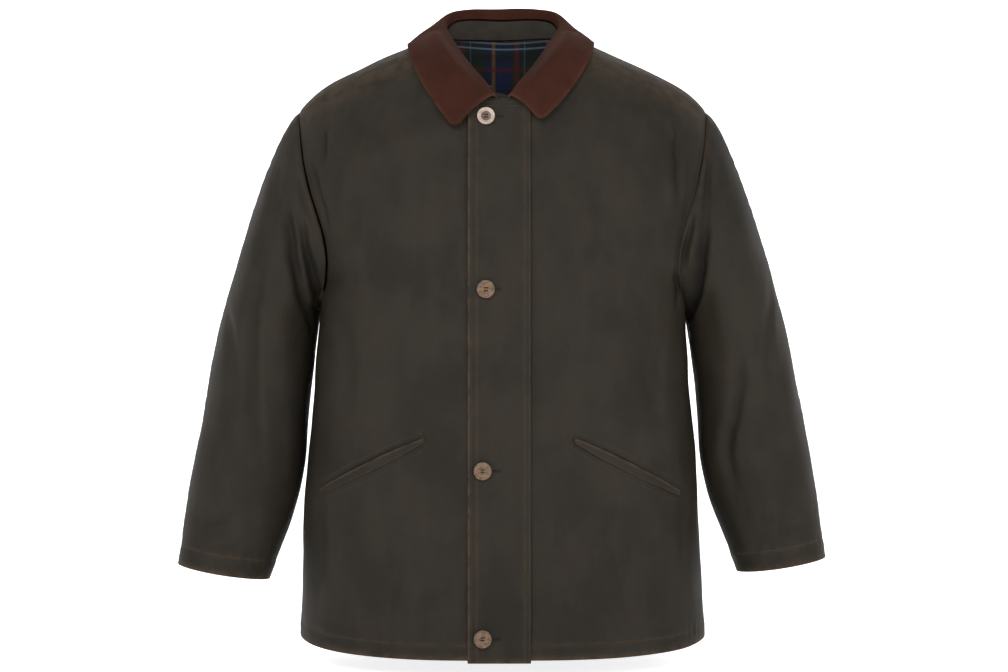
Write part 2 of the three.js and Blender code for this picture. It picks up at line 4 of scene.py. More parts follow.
import bmesh
import bpy
import numpy as np
from mathutils import Matrix, Vector


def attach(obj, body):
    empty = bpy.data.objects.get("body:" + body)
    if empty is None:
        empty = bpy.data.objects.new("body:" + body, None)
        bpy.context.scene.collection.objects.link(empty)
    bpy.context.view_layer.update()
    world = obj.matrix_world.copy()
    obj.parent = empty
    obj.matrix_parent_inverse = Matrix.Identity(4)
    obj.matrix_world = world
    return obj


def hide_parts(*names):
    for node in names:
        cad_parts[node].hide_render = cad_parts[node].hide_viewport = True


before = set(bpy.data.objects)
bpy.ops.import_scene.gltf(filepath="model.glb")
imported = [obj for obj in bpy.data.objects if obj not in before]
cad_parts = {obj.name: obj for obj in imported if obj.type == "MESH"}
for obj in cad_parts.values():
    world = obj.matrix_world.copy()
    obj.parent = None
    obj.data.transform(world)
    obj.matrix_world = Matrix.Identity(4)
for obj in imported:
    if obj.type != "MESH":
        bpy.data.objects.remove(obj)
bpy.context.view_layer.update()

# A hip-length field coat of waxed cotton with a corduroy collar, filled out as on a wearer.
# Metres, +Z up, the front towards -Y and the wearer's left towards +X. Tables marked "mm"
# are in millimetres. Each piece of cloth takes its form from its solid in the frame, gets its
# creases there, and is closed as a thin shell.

MM = 0.001

# Cloth
CLOTH = 2.0 * MM
COLLAR_CLOTH = 2.4 * MM
LINING_CLOTH = 1.2 * MM
HEM_EXTRA = 1.3 * MM
HEM_STITCH = 19 * MM
CUFF_STITCH = 25 * MM
PLACKET_STITCH = 11 * MM
PLACKET_SEAM_STITCH = 7.5 * MM
POCKET_STITCH = 8 * MM
COLLAR_STITCH = 5 * MM
COLLAR_LENGTH = 460 * MM
SEAM_STITCHES = (3.5 * MM, 9 * MM)
ARMHOLE_BOTTOM = -215 * MM

# Cloth lies still at the armholes and the side seams, and is free this far from them
SLEEVE_FREE = 13 * MM
BODY_FREE = 11 * MM
SEAM_GROOVE = 1.1 * MM
# The crease depth at which the painted shade in creases is full
FULL_PAINTED_SHADE_DEPTH = 9 * MM

# The grids of the frame's cloth: rows, columns, the way the rows run and the way the columns run
DOWN = (0, 0, -1)
LEFT = (1, 0, 0)
RIGHT = (-1, 0, 0)
Grid = namedtuple("Grid", "rows columns row_way column_way thick")
GRIDS = {
    "front_right": Grid(20, 9, DOWN, RIGHT, CLOTH),
    "front_left": Grid(20, 9, DOWN, LEFT, CLOTH),
    "back": Grid(20, 30, DOWN, LEFT, CLOTH),
    "sleeve_right_front": Grid(19, 8, DOWN, LEFT, CLOTH),
    "sleeve_right_back": Grid(19, 8, DOWN, LEFT, CLOTH),
    "sleeve_left_front": Grid(19, 8, DOWN, RIGHT, CLOTH),
    "sleeve_left_back": Grid(19, 8, DOWN, RIGHT, CLOTH),
    "placket": Grid(26, 4, DOWN, LEFT, CLOTH),
    "pocket_welt_right": Grid(12, 2, RIGHT, DOWN, CLOTH),
    "pocket_welt_left": Grid(12, 2, LEFT, DOWN, CLOTH),
    "collar": Grid(34, 8, LEFT, DOWN, COLLAR_CLOTH),
    "back_lining": Grid(6, 28, DOWN, LEFT, LINING_CLOTH),
}

# Creases in mm: how deep and wide a soft trough is, and the places (x, z) it runs through
Crease = namedtuple("Crease", "depth width places")
FRONT_CREASES = [
    # the wearer's right front and the right sleeve's head
    Crease(2.6, 14, [(-71, -225), (-60, -290), (-48, -362)]),
    Crease(1.6, 13, [(-64, -395), (-58, -450), (-60, -520)]),
    Crease(4.6, 7, [(-227, -100), (-225, -124), (-225, -150)]),
    Crease(4.2, 6, [(-244, -142), (-233, -181), (-224, -212), (-221, -236)]),
    Crease(6.5, 8, [(-252, -160), (-246, -190), (-240, -222)]),
    Crease(9.5, 9, [(-277, -198), (-266, -242), (-258, -290), (-246, -360)]),
    Crease(8.5, 8, [(-254, -218), (-245, -268), (-230, -346)]),
    Crease(3.0, 12, [(-284, -150), (-288, -190), (-290, -240)]),
    Crease(2.4, 16, [(-206, -330), (-190, -400), (-196, -480)]),
    Crease(1.8, 18, [(-150, -600), (-138, -660), (-146, -730)]),
    Crease(2.0, 14, [(-232, -560), (-226, -640), (-236, -720)]),
    # the wearer's left front and the left sleeve's head
    Crease(5.0, 7, [(221, -92), (221, -150), (223, -200)]),
    Crease(7.0, 8, [(262, -102), (260, -160), (258, -214)]),
    Crease(8.5, 8, [(238, -196), (235, -232), (228, -280), (222, -330)]),
    Crease(9.5, 9, [(259, -206), (254, -262), (248, -318), (237, -364)]),
    Crease(1.8, 15, [(92, -205), (84, -290), (90, -380)]),
    Crease(2.4, 16, [(205, -350), (192, -420), (199, -490)]),
    Crease(1.7, 18, [(150, -590), (140, -650), (149, -735)]),
    Crease(2.0, 14, [(233, -570), (227, -640), (237, -715)]),
    # the sleeves below the heads
    Crease(5.4, 12, [(-302, -262), (-313, -345), (-315, -430), (-305, -548)]),
    Crease(3.0, 12, [(-352, -330), (-338, -400), (-341, -470)]),
    Crease(2.6, 9, [(-330, -575), (-352, -600), (-386, -606)]),
    Crease(2.0, 8, [(-322, -628), (-350, -640), (-384, -641)]),
    Crease(5.0, 11, [(300, -388), (301, -440), (287, -512), (297, -562)]),
    Crease(3.0, 12, [(345, -300), (338, -380), (347, -462)]),
    Crease(2.4, 9, [(322, -596), (352, -612), (390, -608)]),
    Crease(1.8, 8, [(330, -640), (358, -648), (398, -640)]),
]
BACK_CREASES = [
    Crease(2.6, 18, [(-60, -120), (-74, -210), (-66, -300)]),
    Crease(2.4, 18, [(66, -130), (82, -230), (70, -330)]),
    Crease(4.4, 11, [(-222, -140), (-204, -205), (-190, -290)]),
    Crease(4.4, 11, [(222, -135), (205, -200), (188, -300)]),
    Crease(6.5, 9, [(-256, -150), (-250, -200), (-240, -262)]),
    Crease(6.5, 9, [(256, -140), (252, -195), (242, -268)]),
    Crease(2.6, 15, [(-225, -352), (-170, -372), (-120, -368)]),
    Crease(2.6, 15, [(228, -345), (180, -368), (126, -377)]),
    Crease(2.2, 20, [(-110, -430), (-96, -560), (-104, -700)]),
    Crease(2.4, 20, [(118, -440), (100, -580), (110, -735)]),
    Crease(2.0, 17, [(8, -470), (-4, -600), (6, -745)]),
    Crease(4.4, 13, [(-305, -240), (-322, -330), (-330, -420)]),
    Crease(4.8, 11, [(-382, -392), (-352, -424), (-300, -430)]),
    Crease(4.2, 10, [(-386, -450), (-354, -462), (-306, -452)]),
    Crease(6.0, 11, [(-268, -265), (-264, -310), (-256, -360)]),
    Crease(2.8, 10, [(-330, -560), (-352, -590), (-388, -596)]),
    Crease(4.4, 13, [(304, -245), (321, -335), (326, -425)]),
    Crease(4.8, 11, [(380, -402), (350, -430), (300, -436)]),
    Crease(4.2, 10, [(386, -462), (352, -470), (306, -462)]),
    Crease(6.0, 11, [(268, -265), (264, -310), (256, -360)]),
    Crease(2.8, 10, [(334, -570), (356, -596), (396, -592)]),
]

# Buttons and buttonholes: places on the placket in mm, from its middle line
BUTTONS = [(-18.6, -96.0), (-21.1, -312.2), (-23.8, -534.5), (-23.1, -742.5)]
BUTTON_RADIUS = 11 * MM
BUTTON_THICK = 3.4 * MM
DISH_RADIUS = 6.6 * MM
BUTTONHOLE_LENGTH = 13 * MM

# A button's four holes
HOLE_FROM_MIDDLE = 1.7 * MM
HOLE_RADIUS = 0.95 * MM

# Threads and ribs of the cloths, and how much cloth the lining's check repeats after, both ways
WAXED_WEAVE = 1.1 * MM
STAND_WEAVE = 1.2 * MM
WALE = 1.5 * MM
CHECK_REPEAT = 72 * MM

# Stitches
STITCH_PITCH = 3.4 * MM
STITCH_LENGTH = 2.5 * MM
STITCH_THICK = 0.62 * MM

# Soft unevenness: the length of its waves, how high they are and the seed they are drawn from
BODY_SWELLS = ((210 * MM, 2.0 * MM, 3), (62 * MM, 0.55 * MM, 8))
PLACKET_SWELL = (90 * MM, 0.3 * MM, 5)
COLLAR_SWELL = (70 * MM, 0.7 * MM, 14)
COLLAR_TIP_RADIUS = 13 * MM


# ---- Grids of points from the frame's walls of cloth ------------------------------------

def is_rim_edge(edge, thick):
    """Whether an edge joins the two faces of a wall, as the edges round its rim do."""
    start, end = edge.verts
    way = end.co - start.co
    if not 0.8 * thick < way.length < 1.6 * thick:
        return False
    return (end.normal - start.normal).dot(way.normalized()) > 0.75


def wall_skins(wall, thick, count):
    """The two faces of a wall of cloth as sets of joined triangles, the larger first."""
    left = {face for face in wall.faces if not any(is_rim_edge(edge, thick) for edge in face.edges)}
    skins = []
    while left:
        reach = [left.pop()]
        skin = set(reach)
        while reach:
            beside = {face for edge in reach.pop().edges for face in edge.link_faces} & left
            left -= beside
            skin |= beside
            reach.extend(beside)
        skins.append(skin)
    whole = [skin for skin in skins if len({vert for face in skin for vert in face.verts}) == count]
    return sorted(whole, key=lambda skin: -sum(face.calc_area() for face in skin))


def border_loop(skin):
    """The points round the border of a skin, in order."""
    rim = [edge for face in skin for edge in face.edges if sum(f in skin for f in edge.link_faces) == 1]
    beside = {}
    for edge in rim:
        for vert in edge.verts:
            beside.setdefault(vert, []).append(edge.other_vert(vert))
    loop = [rim[0].verts[0]]
    step = beside[loop[0]][0]
    while step is not loop[0]:
        loop.append(step)
        step = next(vert for vert in beside[step] if vert is not loop[-2])
    return loop


def lay_rows(loop, near, rows, columns):
    """Rows of points from one corner of a border, or nothing if it isn't a corner."""
    lines = [loop[:columns + 1]]
    first = [loop[0]] + loop[:-rows - 1:-1]
    for row in range(rows):
        line = [first[row + 1]]
        for column in range(columns):
            above = lines[row][column + 1]
            found = (near[line[-1]] & near[above]) - {lines[row][column]}
            if len(found) != 1:
                return None
            line.append(found.pop())
        lines.append(line)
    return lines


def frame_grid(node):
    """The grid of points on one whole face of a node's wall, and the way out of it at each."""
    grid = GRIDS[node]
    wall = bmesh.new()
    wall.from_mesh(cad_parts[node].data)
    bmesh.ops.remove_doubles(wall, verts=wall.verts, dist=0.02 * MM)
    wall.normal_update()
    skins = wall_skins(wall, grid.thick, (grid.rows + 1) * (grid.columns + 1))
    near = {}
    for face in skins[0]:
        for vert in face.verts:
            near.setdefault(vert, set()).update(other for other in face.verts if other is not vert)
    loop = border_loop(skins[0])
    turns = [way[start:] + way[:start] for way in (loop, loop[::-1]) for start in range(len(loop))]
    lines = next(filter(None, (lay_rows(turn, near, grid.rows, grid.columns) for turn in turns)))
    points = np.array([[vert.co[:] for vert in line] for line in lines])
    normals = np.array([[vert.normal[:] for vert in line] for line in lines])
    wall.free()
    if (points[-1] - points[0]).mean(axis=0) @ grid.row_way < 0:
        points, normals = points[::-1], normals[::-1]
    if (points[:, -1] - points[:, 0]).mean(axis=0) @ grid.column_way < 0:
        points, normals = points[:, ::-1], normals[:, ::-1]
    inside_only = len(skins) == 1
    out = ways_out(points)
    if (out * normals).sum() < 0:
        out = -out
    if inside_only:
        points, out = points - out * grid.thick, -out
    return points, out


def unit(ways):
    return ways / np.maximum(np.linalg.norm(ways, axis=-1, keepdims=True), 1e-12)


def ways_out(points):
    return unit(np.cross(np.gradient(points, axis=1), np.gradient(points, axis=0)))


# ---- Fine grids -------------------------------------------------------------------------

def beyond(a, b, c):
    """One step past a, on the curve through a, b and c."""
    return 3 * a - 3 * b + c


def with_borders(points, top=None, left=None, right=None):
    """The grid with a row and a column past each border, from its neighbour where it has one."""
    first = beyond(*points[:3])
    if top is not None:
        first = np.where(np.isnan(top), first, top)
    points = np.concatenate([[first], points, [beyond(*points[:-4:-1])]])
    start = beyond(points[:, 0], points[:, 1], points[:, 2])
    end = beyond(points[:, -1], points[:, -2], points[:, -3])
    for edge, beside in ((start, left), (end, right)):
        if beside is not None:
            edge[1:-1] = np.where(np.isnan(beside), edge[1:-1], beside)
    return np.concatenate([start[:, None], points, end[:, None]], axis=1)


def curved(points, per):
    """A smooth curve through all but the first and last of the points, per steps to each one."""
    steps = len(points) - 3
    t = np.arange(steps * per + 1) / per
    k = np.minimum(t.astype(int), steps - 1)
    f = (t - k).reshape(-1, *[1] * (points.ndim - 1))
    a, b, c, d = (points[k + i] for i in range(4))
    return 0.5 * (2 * b + (c - a) * f + (2 * a - 5 * b + 4 * c - d) * f ** 2
                  + (3 * b - a - 3 * c + d) * f ** 3)


def even_line(line, count):
    """Points equally far apart along a line of points."""
    steps = np.linalg.norm(np.diff(line, axis=0), axis=1)
    run = np.concatenate([[0], np.cumsum(steps)])
    places = np.linspace(0, run[-1], count + 1)
    return np.stack([np.interp(places, run, line[:, axis]) for axis in range(3)], axis=1)


def run_along(points, axis):
    """How far each point is from the first along one way of the grid, along the cloth."""
    steps = np.linalg.norm(np.diff(points, axis=axis), axis=2)
    start = np.zeros_like(np.take(steps, [0], axis=axis))
    return np.concatenate([start, np.cumsum(steps, axis=axis)], axis=axis)


class Cloth:
    """A piece of cloth before it gets its thickness: a fine grid of points on its outer face."""

    def __init__(self, points, out, per_row, per_column, **beside):
        fine = curved(with_borders(points, **beside), per_row)
        self.points = curved(fine.swapaxes(0, 1), per_column).swapaxes(0, 1)
        self.sign = 1.0
        if (ways_out(points) * out).sum() < 0:
            self.sign = -1.0
        self.out = self.sign * ways_out(self.points)
        down = run_along(self.points, 0)
        across = run_along(self.points, 1)
        self.from_top = down
        self.from_hem = down[-1:] - down
        self.from_left = across
        self.from_right = across[:, -1:] - across
        self.wear_and_light = np.zeros_like(down)
        # Painted shade from 0 to 1, in creases, along seams and in pocket openings
        self.painted_shade = np.zeros_like(down)
        self.free = np.ones_like(down)

    def move(self, far):
        """Move the cloth out by far at each point."""
        self.points = self.points + self.out * far[..., None]
        self.out = self.sign * ways_out(self.points)

    def fold_and_paint_shade(self, far):
        """Move the cloth into its creases and paint shade into them, darkest where they are deepest."""
        held = far * self.free
        # Painted shade in the crease, fuller where it is deeper
        self.painted_shade = np.maximum(self.painted_shade, (-held / FULL_PAINTED_SHADE_DEPTH).clip(0, 1) ** 1.5)
        self.move(held)

    def hold_seam(self, away, free):
        """Keep a seam closed: creases fade out this near it, and it lies in a shallow groove with painted
        shade along it.
        """
        near = np.exp(-(away / (4 * MM)) ** 2)
        self.free = self.free * (1 - np.exp(-(away / free) ** 2))
        # Painted shade along the seam's groove
        self.painted_shade = np.maximum(self.painted_shade, 0.5 * near)
        self.move(-SEAM_GROOVE * near)

    def mark_wear_and_light(self, away, reach, much):
        """Mark the cloth as worn near a line that it is this far away from. The same marks carry the
        painted light that makes the tops lighter.
        """
        self.wear_and_light = np.maximum(self.wear_and_light, much * np.exp(-(away / reach) ** 2))


# ---- Creases and soft unevenness --------------------------------------------------------

def swell(points, length, size, seed):
    """Soft unevenness: waves of about one length in all directions, size high at most."""
    numbers = np.random.default_rng(seed)
    ways = unit(numbers.normal(size=(9, 3)))
    lengths = length * numbers.uniform(0.7, 1.5, 9)
    shifts = numbers.uniform(0, 2 * math.pi, 9)
    phase = points @ (ways * (2 * math.pi / lengths)[:, None]).T + shifts
    return size * np.sin(phase).sum(axis=-1) / 4


def on_cloth(places, cloths):
    """The points of the cloth nearest to places (x, z), as a smooth line."""
    places = np.array(places) * MM
    line = curved(np.concatenate([[2 * places[0] - places[1]], places, [2 * places[-1] - places[-2]]]), 6)
    points = np.concatenate([cloth.points.reshape(-1, 3) for cloth in cloths])
    far = ((points[None, :, [0, 2]] - line[:, None]) ** 2).sum(axis=2)
    return points[far.argmin(axis=1)]


def trough(points, out, line, width, depth):
    """How far a soft crease along a line moves each point out, less than nothing for in."""
    reach = np.zeros(points.shape[:-1])
    low, high = line.min(axis=0) - 3 * width, line.max(axis=0) + 3 * width
    inside = ((points > low) & (points < high)).all(axis=-1)
    if not inside.any():
        return reach
    here, face = points[inside], out[inside]
    start, way = line[:-1], np.diff(line, axis=0)
    share = ((here[:, None] - start) * way).sum(axis=2) / np.maximum((way ** 2).sum(axis=1), 1e-12)
    share = share.clip(0, 1)
    off = here[:, None] - (start + share[..., None] * way)
    far = np.linalg.norm(off, axis=2)
    k = far.argmin(axis=1)
    pick = np.arange(len(here))
    t = (k + share[pick, k]) / len(way)
    side = np.sign((np.cross(way[k], off[pick, k]) * face).sum(axis=1))
    s = far[pick, k] / width * (1 + 0.25 * side)
    ends = np.sin(math.pi * t.clip(0.03, 0.97)) ** 0.7
    reach[inside] = -depth * ends * (1 - 0.95 * s ** 2) * np.exp(-s ** 2)
    return reach


def crease(cloths, creases, faces):
    """Press creases into the cloths, with painted shade in them. Their places are found on the faces that
    they lie on.
    """
    lines = [(on_cloth(one.places, faces), one) for one in creases]
    for cloth in cloths:
        cloth.fold_and_paint_shade(sum(trough(cloth.points, cloth.out, line, one.width * MM, one.depth * MM)
                       for line, one in lines))


def pucker(along, away, pitch, reach, size):
    """Small puckers beside a seam: they follow it and die away from it."""
    uneven = 1 + 0.5 * np.sin(along / pitch * 1.7 + 0.6) + 0.4 * np.sin(along / pitch * 0.61)
    return size * uneven * np.cos(2 * math.pi * along / pitch) * np.exp(-(away / reach) ** 2)


# ---- Closed shells ----------------------------------------------------------------------

def put_in_scene(name, data):
    """A new object, unturned at the origin, that shows a mesh, a lamp or a camera."""
    piece = bpy.data.objects.new(name, data)
    bpy.context.collection.objects.link(piece)
    return piece


def shell(name, cloth, finishes, thick=CLOTH, bulge=0.1 * MM, wales=None):
    """Close a cloth as a thin wall with a rounded rim. finishes are its outside and its inside."""
    rows, columns = cloth.points.shape[:2]
    outer = cloth.points.reshape(-1, 3)
    thick = np.broadcast_to(thick, (rows, columns))
    inner = (cloth.points - cloth.out * thick[..., None]).reshape(-1, 3)
    number = np.arange(rows * columns).reshape(rows, columns)
    loop = np.concatenate([number[0, :-1], number[:-1, -1], number[-1, :0:-1], number[:0:-1, 0]])
    inwards = number[1:-1, 1:-1]
    next_in = np.pad(inwards, 1, mode="edge").reshape(-1)
    past = unit(outer[loop] - outer[next_in[loop]])
    middle = (outer[loop] + inner[loop]) / 2 + past * bulge
    count = len(outer)
    rim = 2 * count + np.arange(len(loop))
    quads = np.stack([number[:-1, :-1], number[:-1, 1:], number[1:, 1:], number[1:, :-1]], axis=-1)
    quads = quads.reshape(-1, 4)
    after = np.roll(np.arange(len(loop)), -1)
    faces = np.concatenate([
        quads,
        quads[:, ::-1] + count,
        np.stack([loop[after], loop, rim, rim[after]], axis=1),
        np.stack([rim[after], rim, loop + count, loop[after] + count], axis=1),
    ])
    if cloth.sign < 0:
        faces = faces[:, ::-1]
    mesh = bpy.data.meshes.new(name)
    mesh.from_pydata(np.concatenate([outer, inner, middle]).tolist(), [], faces.tolist())
    for finish in finishes:
        mesh.materials.append(finish)
    slots = np.zeros(len(faces), dtype=np.int32)
    slots[len(quads):2 * len(quads)] = len(finishes) - 1
    mesh.polygons.foreach_set("material_index", slots)
    source = np.concatenate([np.arange(count), np.arange(count), loop])
    corners = np.empty(len(mesh.loops), dtype=np.int32)
    mesh.loops.foreach_get("vertex_index", corners)
    across = cloth.from_left if wales is None else wales
    places = np.stack([across.reshape(-1), cloth.from_hem.reshape(-1)], axis=1)[source]
    mesh.uv_layers.new(name="cloth").data.foreach_set("uv", places[corners].astype(np.float32).ravel())
    # Per point: wear with painted light at the tops, and painted shade in creases, seams and pocket
    # openings
    for mark, values in (("wear_and_light", cloth.wear_and_light), ("painted_shade", cloth.painted_shade)):
        marks = mesh.attributes.new(mark, "FLOAT", "POINT")
        marks.data.foreach_set("value", values.reshape(-1)[source].astype(np.float32))
    mesh.shade_smooth()
    mesh.set_sharp_from_angle(angle=math.radians(62))
    return put_in_scene(name, mesh)


# ---- Materials --------------------------------------------------------------------------

class Wire:
    """A socket that Python's operators work on by adding Math nodes."""

    def __init__(self, finish, socket):
        self.finish = finish
        self.socket = socket

    def __add__(self, other):
        return self.finish.math("ADD", self, other)

    def __sub__(self, other):
        return self.finish.math("SUBTRACT", self, other)

    def __rsub__(self, other):
        return self.finish.math("SUBTRACT", other, self)

    def __mul__(self, other):
        return self.finish.math("MULTIPLY", self, other)

    __radd__ = __add__
    __rmul__ = __mul__


class Finish:
    """A material being made: its nodes, and short ways to the ones used most."""

    def __init__(self, name):
        self.material = bpy.data.materials.new(name)
        self.material.use_nodes = True
        self.tree = self.material.node_tree
        self.tree.nodes.clear()

    def node(self, kind, settings=None, values=None):
        node = self.tree.nodes.new("ShaderNode" + kind)
        for name, value in (settings or {}).items():
            setattr(node, name, value)
        for name, value in (values or {}).items():
            if isinstance(value, Wire):
                self.tree.links.new(value.socket, node.inputs[name])
            else:
                node.inputs[name].default_value = value
        return node

    def math(self, operation, *values):
        node = self.node("Math", {"operation": operation}, dict(enumerate(values)))
        return Wire(self, node.outputs[0])

    def place(self):
        return Wire(self, self.node("TexCoord").outputs["Object"])

    def along(self):
        """Metres across and up the cloth."""
        where = self.node("UVMap", {"uv_map": "cloth"})
        split = self.node("SeparateXYZ", None, {0: Wire(self, where.outputs[0])})
        return Wire(self, split.outputs[0]), Wire(self, split.outputs[1])

    def noise(self, size, detail=3.0, rough=0.55, stretch=None):
        """Noise from 0 to 1 with patches about size metres across."""
        where = self.place()
        if stretch is not None:
            node = self.node("VectorMath", {"operation": "MULTIPLY"}, {0: where, 1: stretch})
            where = Wire(self, node.outputs[0])
        node = self.node("TexNoise", None, {
            "Vector": where, "Scale": 1 / size, "Detail": detail, "Roughness": rough})
        return Wire(self, node.outputs[0])

    def attribute(self, name):
        return Wire(self, self.node("Attribute", {"attribute_name": name}).outputs["Fac"])

    def step(self, value, low, high):
        """0 below low and 1 above high, smooth between."""
        node = self.node("MapRange", {"interpolation_type": "SMOOTHSTEP"}, {0: value, 1: low, 2: high})
        return Wire(self, node.outputs[0])

    def mix(self, share, first, second):
        """A colour between two, by share from 0 to 1."""
        colours = [value if isinstance(value, Wire) else (*value, 1.0) for value in (first, second)]
        values = {0: share, 6: colours[0], 7: colours[1]}
        return Wire(self, self.node("Mix", {"data_type": "RGBA"}, values).outputs[2])

    def weave(self, pitch):
        """Threads that cross over and under, from -1 to 1."""
        turns = 2 * math.pi / pitch
        across, up = self.along()
        return self.math("SINE", across * turns) * self.math("SINE", up * turns)

    def bump(self, height, distance, strength=1.0, under=None):
        values = {"Height": height, "Distance": distance, "Strength": strength}
        if under is not None:
            values["Normal"] = under
        return Wire(self, self.node("Bump", None, values).outputs[0])

    def surface(self, colour, roughness, normal, **constants):
        values = {"Base Color": colour, "Roughness": roughness, "Normal": normal}
        values.update({name.replace("_", " "): value for name, value in constants.items()})
        shader = self.node("BsdfPrincipled", None, values)
        self.node("OutputMaterial", None, {"Surface": Wire(self, shader.outputs[0])})
        return self.material


def waxed_cotton():
    """Dark olive-brown waxed cotton: patchy wax, warm brown where it is rubbed and where the tops get
    painted light, painted shade in creases, seam grooves and pocket openings, a fine weave.
    """
    finish = Finish("waxed cotton")
    patches = finish.noise(0.11, 4.0, 0.6)
    streaks = finish.noise(0.03, 4.0, 0.62, (1.0, 1.0, 0.35))
    flecks = finish.noise(0.0022, 2.0, 0.6)
    wear_and_light = finish.attribute("wear_and_light")
    waxy = finish.step(patches, 0.32, 0.68)
    colour = finish.mix(waxy, (0.0110, 0.0091, 0.0062), (0.0160, 0.0127, 0.0084))
    colour = finish.mix(finish.step(streaks, 0.42, 0.72) * 0.45, colour, (0.0235, 0.0165, 0.0105))
    # Rubbed wax, and at the tops of the body also painted light
    rubbed_and_lit = wear_and_light * finish.step(finish.noise(0.014, 5.0, 0.65), 0.30, 0.62)
    colour = finish.mix(rubbed_and_lit, colour, (0.056, 0.035, 0.018))
    colour = finish.mix(finish.step(flecks, 0.55, 0.8) * 0.3, colour, (0.028, 0.022, 0.015))
    # Painted shade: near-black in creases, seam grooves and pocket openings
    colour = finish.mix(finish.attribute("painted_shade") * 0.85, colour, (0.0030, 0.0024, 0.0018))
    crumple = finish.noise(0.018, 4.0, 0.6)
    normal = finish.bump(crumple, 1.5 * MM, 0.55)
    normal = finish.bump(finish.weave(WAXED_WEAVE) * 0.5 + flecks, 0.25 * MM, 0.6, normal)
    rough = 0.66 - patches * 0.16 + flecks * 0.12
    return finish.surface(colour, rough, normal, Specular_IOR_Level=0.16)


def corduroy():
    """Red-brown corduroy: fine wales from the roll to the edge, darker between the ribs."""
    finish = Finish("corduroy")
    across, _ = finish.along()
    jitter = finish.noise(0.02, 3.0) * 0.0010
    rib = finish.math("SINE", (across + jitter) * (2 * math.pi / WALE)) * 0.5 + 0.5
    pile = finish.noise(0.0016, 3.0, 0.7)
    patches = finish.noise(0.045, 4.0, 0.6)
    colour = finish.mix(finish.step(patches, 0.3, 0.7), (0.0270, 0.0088, 0.0052), (0.0385, 0.0118, 0.0070))
    # Darker between the ribs
    colour = finish.mix(rib * 0.35 + 0.65, (0.012, 0.0045, 0.0036), colour)
    colour = finish.mix(finish.step(pile, 0.5, 0.8) * 0.4, colour, (0.056, 0.021, 0.014))
    rubbed_and_lit = finish.attribute("wear_and_light") * finish.step(patches, 0.3, 0.7) * 0.6
    colour = finish.mix(rubbed_and_lit, colour, (0.070, 0.032, 0.019))
    normal = finish.bump(finish.noise(0.016, 3.0), 1.2 * MM, 0.5)
    normal = finish.bump(rib * 0.7 + pile * 0.6, 0.4 * MM, 0.7, normal)
    return finish.surface(colour, 0.9, normal, Specular_IOR_Level=0.08, Sheen_Weight=0.06,
                          Sheen_Roughness=0.5, Sheen_Tint=(0.5, 0.25, 0.18, 1.0))


def stand_cotton():
    """Olive cotton of the stand inside the collar."""
    finish = Finish("stand cotton")
    patches = finish.noise(0.03, 4.0, 0.6)
    colour = finish.mix(finish.step(patches, 0.3, 0.7), (0.0165, 0.0135, 0.0095), (0.0250, 0.0205, 0.0145))
    normal = finish.bump(finish.noise(0.012, 3.0), 1.0 * MM, 0.6)
    normal = finish.bump(finish.weave(STAND_WEAVE), 0.2 * MM, 0.5, normal)
    return finish.surface(colour, 0.82, normal, Specular_IOR_Level=0.2)


def checked_cotton():
    """A brushed lining in a plain check: navy and bottle green, with red, ochre and pale blue lines."""
    finish = Finish("checked cotton")
    split = finish.node("SeparateXYZ", None, {0: finish.place()})
    across, up = (Wire(finish, split.outputs[axis]) for axis in (0, 2))

    def line(where, centre, half, repeat):
        turn = finish.math("PINGPONG", where - centre, repeat / 2)
        return 1 - finish.step(turn, half * 0.75, half * 1.35)

    block = finish.math("PINGPONG", across + 0.006, CHECK_REPEAT / 2)
    rise = finish.math("PINGPONG", up + 0.020, CHECK_REPEAT / 2)
    navy, green = (0.0075, 0.0105, 0.032), (0.0070, 0.0150, 0.0095)
    colour = finish.mix(finish.step(block, 0.016, 0.019), navy, green)
    colour = finish.mix(finish.step(rise, 0.017, 0.020) * 0.6, colour, (0.0050, 0.0095, 0.0120))
    for where, centre, half, tint, much in (
            (across, 0.019, 0.0030, (0.060, 0.0085, 0.0105), 0.80),
            (across, -0.012, 0.0022, (0.110, 0.052, 0.009), 0.75),
            (across, 0.0295, 0.0008, (0.060, 0.085, 0.115), 0.50),
            (up, 0.014, 0.0010, (0.110, 0.150, 0.210), 0.75),
            (up, 0.021, 0.0010, (0.085, 0.120, 0.175), 0.65),
            (up, -0.012, 0.0030, (0.060, 0.0085, 0.0105), 0.45)):
        colour = finish.mix(line(where, centre, half, CHECK_REPEAT) * much, colour, tint)
    fuzz = finish.noise(0.0016, 3.0, 0.7)
    colour = finish.mix(finish.step(fuzz, 0.5, 0.85) * 0.3, colour, (0.05, 0.05, 0.06))
    normal = finish.bump(fuzz, 0.3 * MM, 0.6, finish.bump(finish.noise(0.02, 3.0), 1.2 * MM, 0.5))
    return finish.surface(colour, 0.92, normal, Specular_IOR_Level=0.15, Sheen_Weight=0.1)


def horn(name, pale, dark):
    """Polished horn with cloudy streaks."""
    finish = Finish(name)
    cloud = finish.noise(0.006, 5.0, 0.65, (1.0, 1.0, 2.2))
    grain = finish.noise(0.0011, 3.0, 0.6)
    colour = finish.mix(finish.step(cloud, 0.36, 0.66), pale, dark)
    colour = finish.mix(finish.step(grain, 0.5, 0.8) * 0.4, colour, dark)
    normal = finish.bump(grain, 0.08 * MM, 0.5)
    return finish.surface(colour, 0.34 + grain * 0.12, normal, Specular_IOR_Level=0.5)


def thread(name, tint):
    """Spun sewing thread."""
    finish = Finish(name)
    twist = finish.noise(0.0006, 2.0)
    colour = finish.mix(twist, [0.7 * part for part in tint], [1.3 * part for part in tint])
    return finish.surface(colour, 0.7, finish.bump(twist, 0.1 * MM, 0.6), Specular_IOR_Level=0.3)


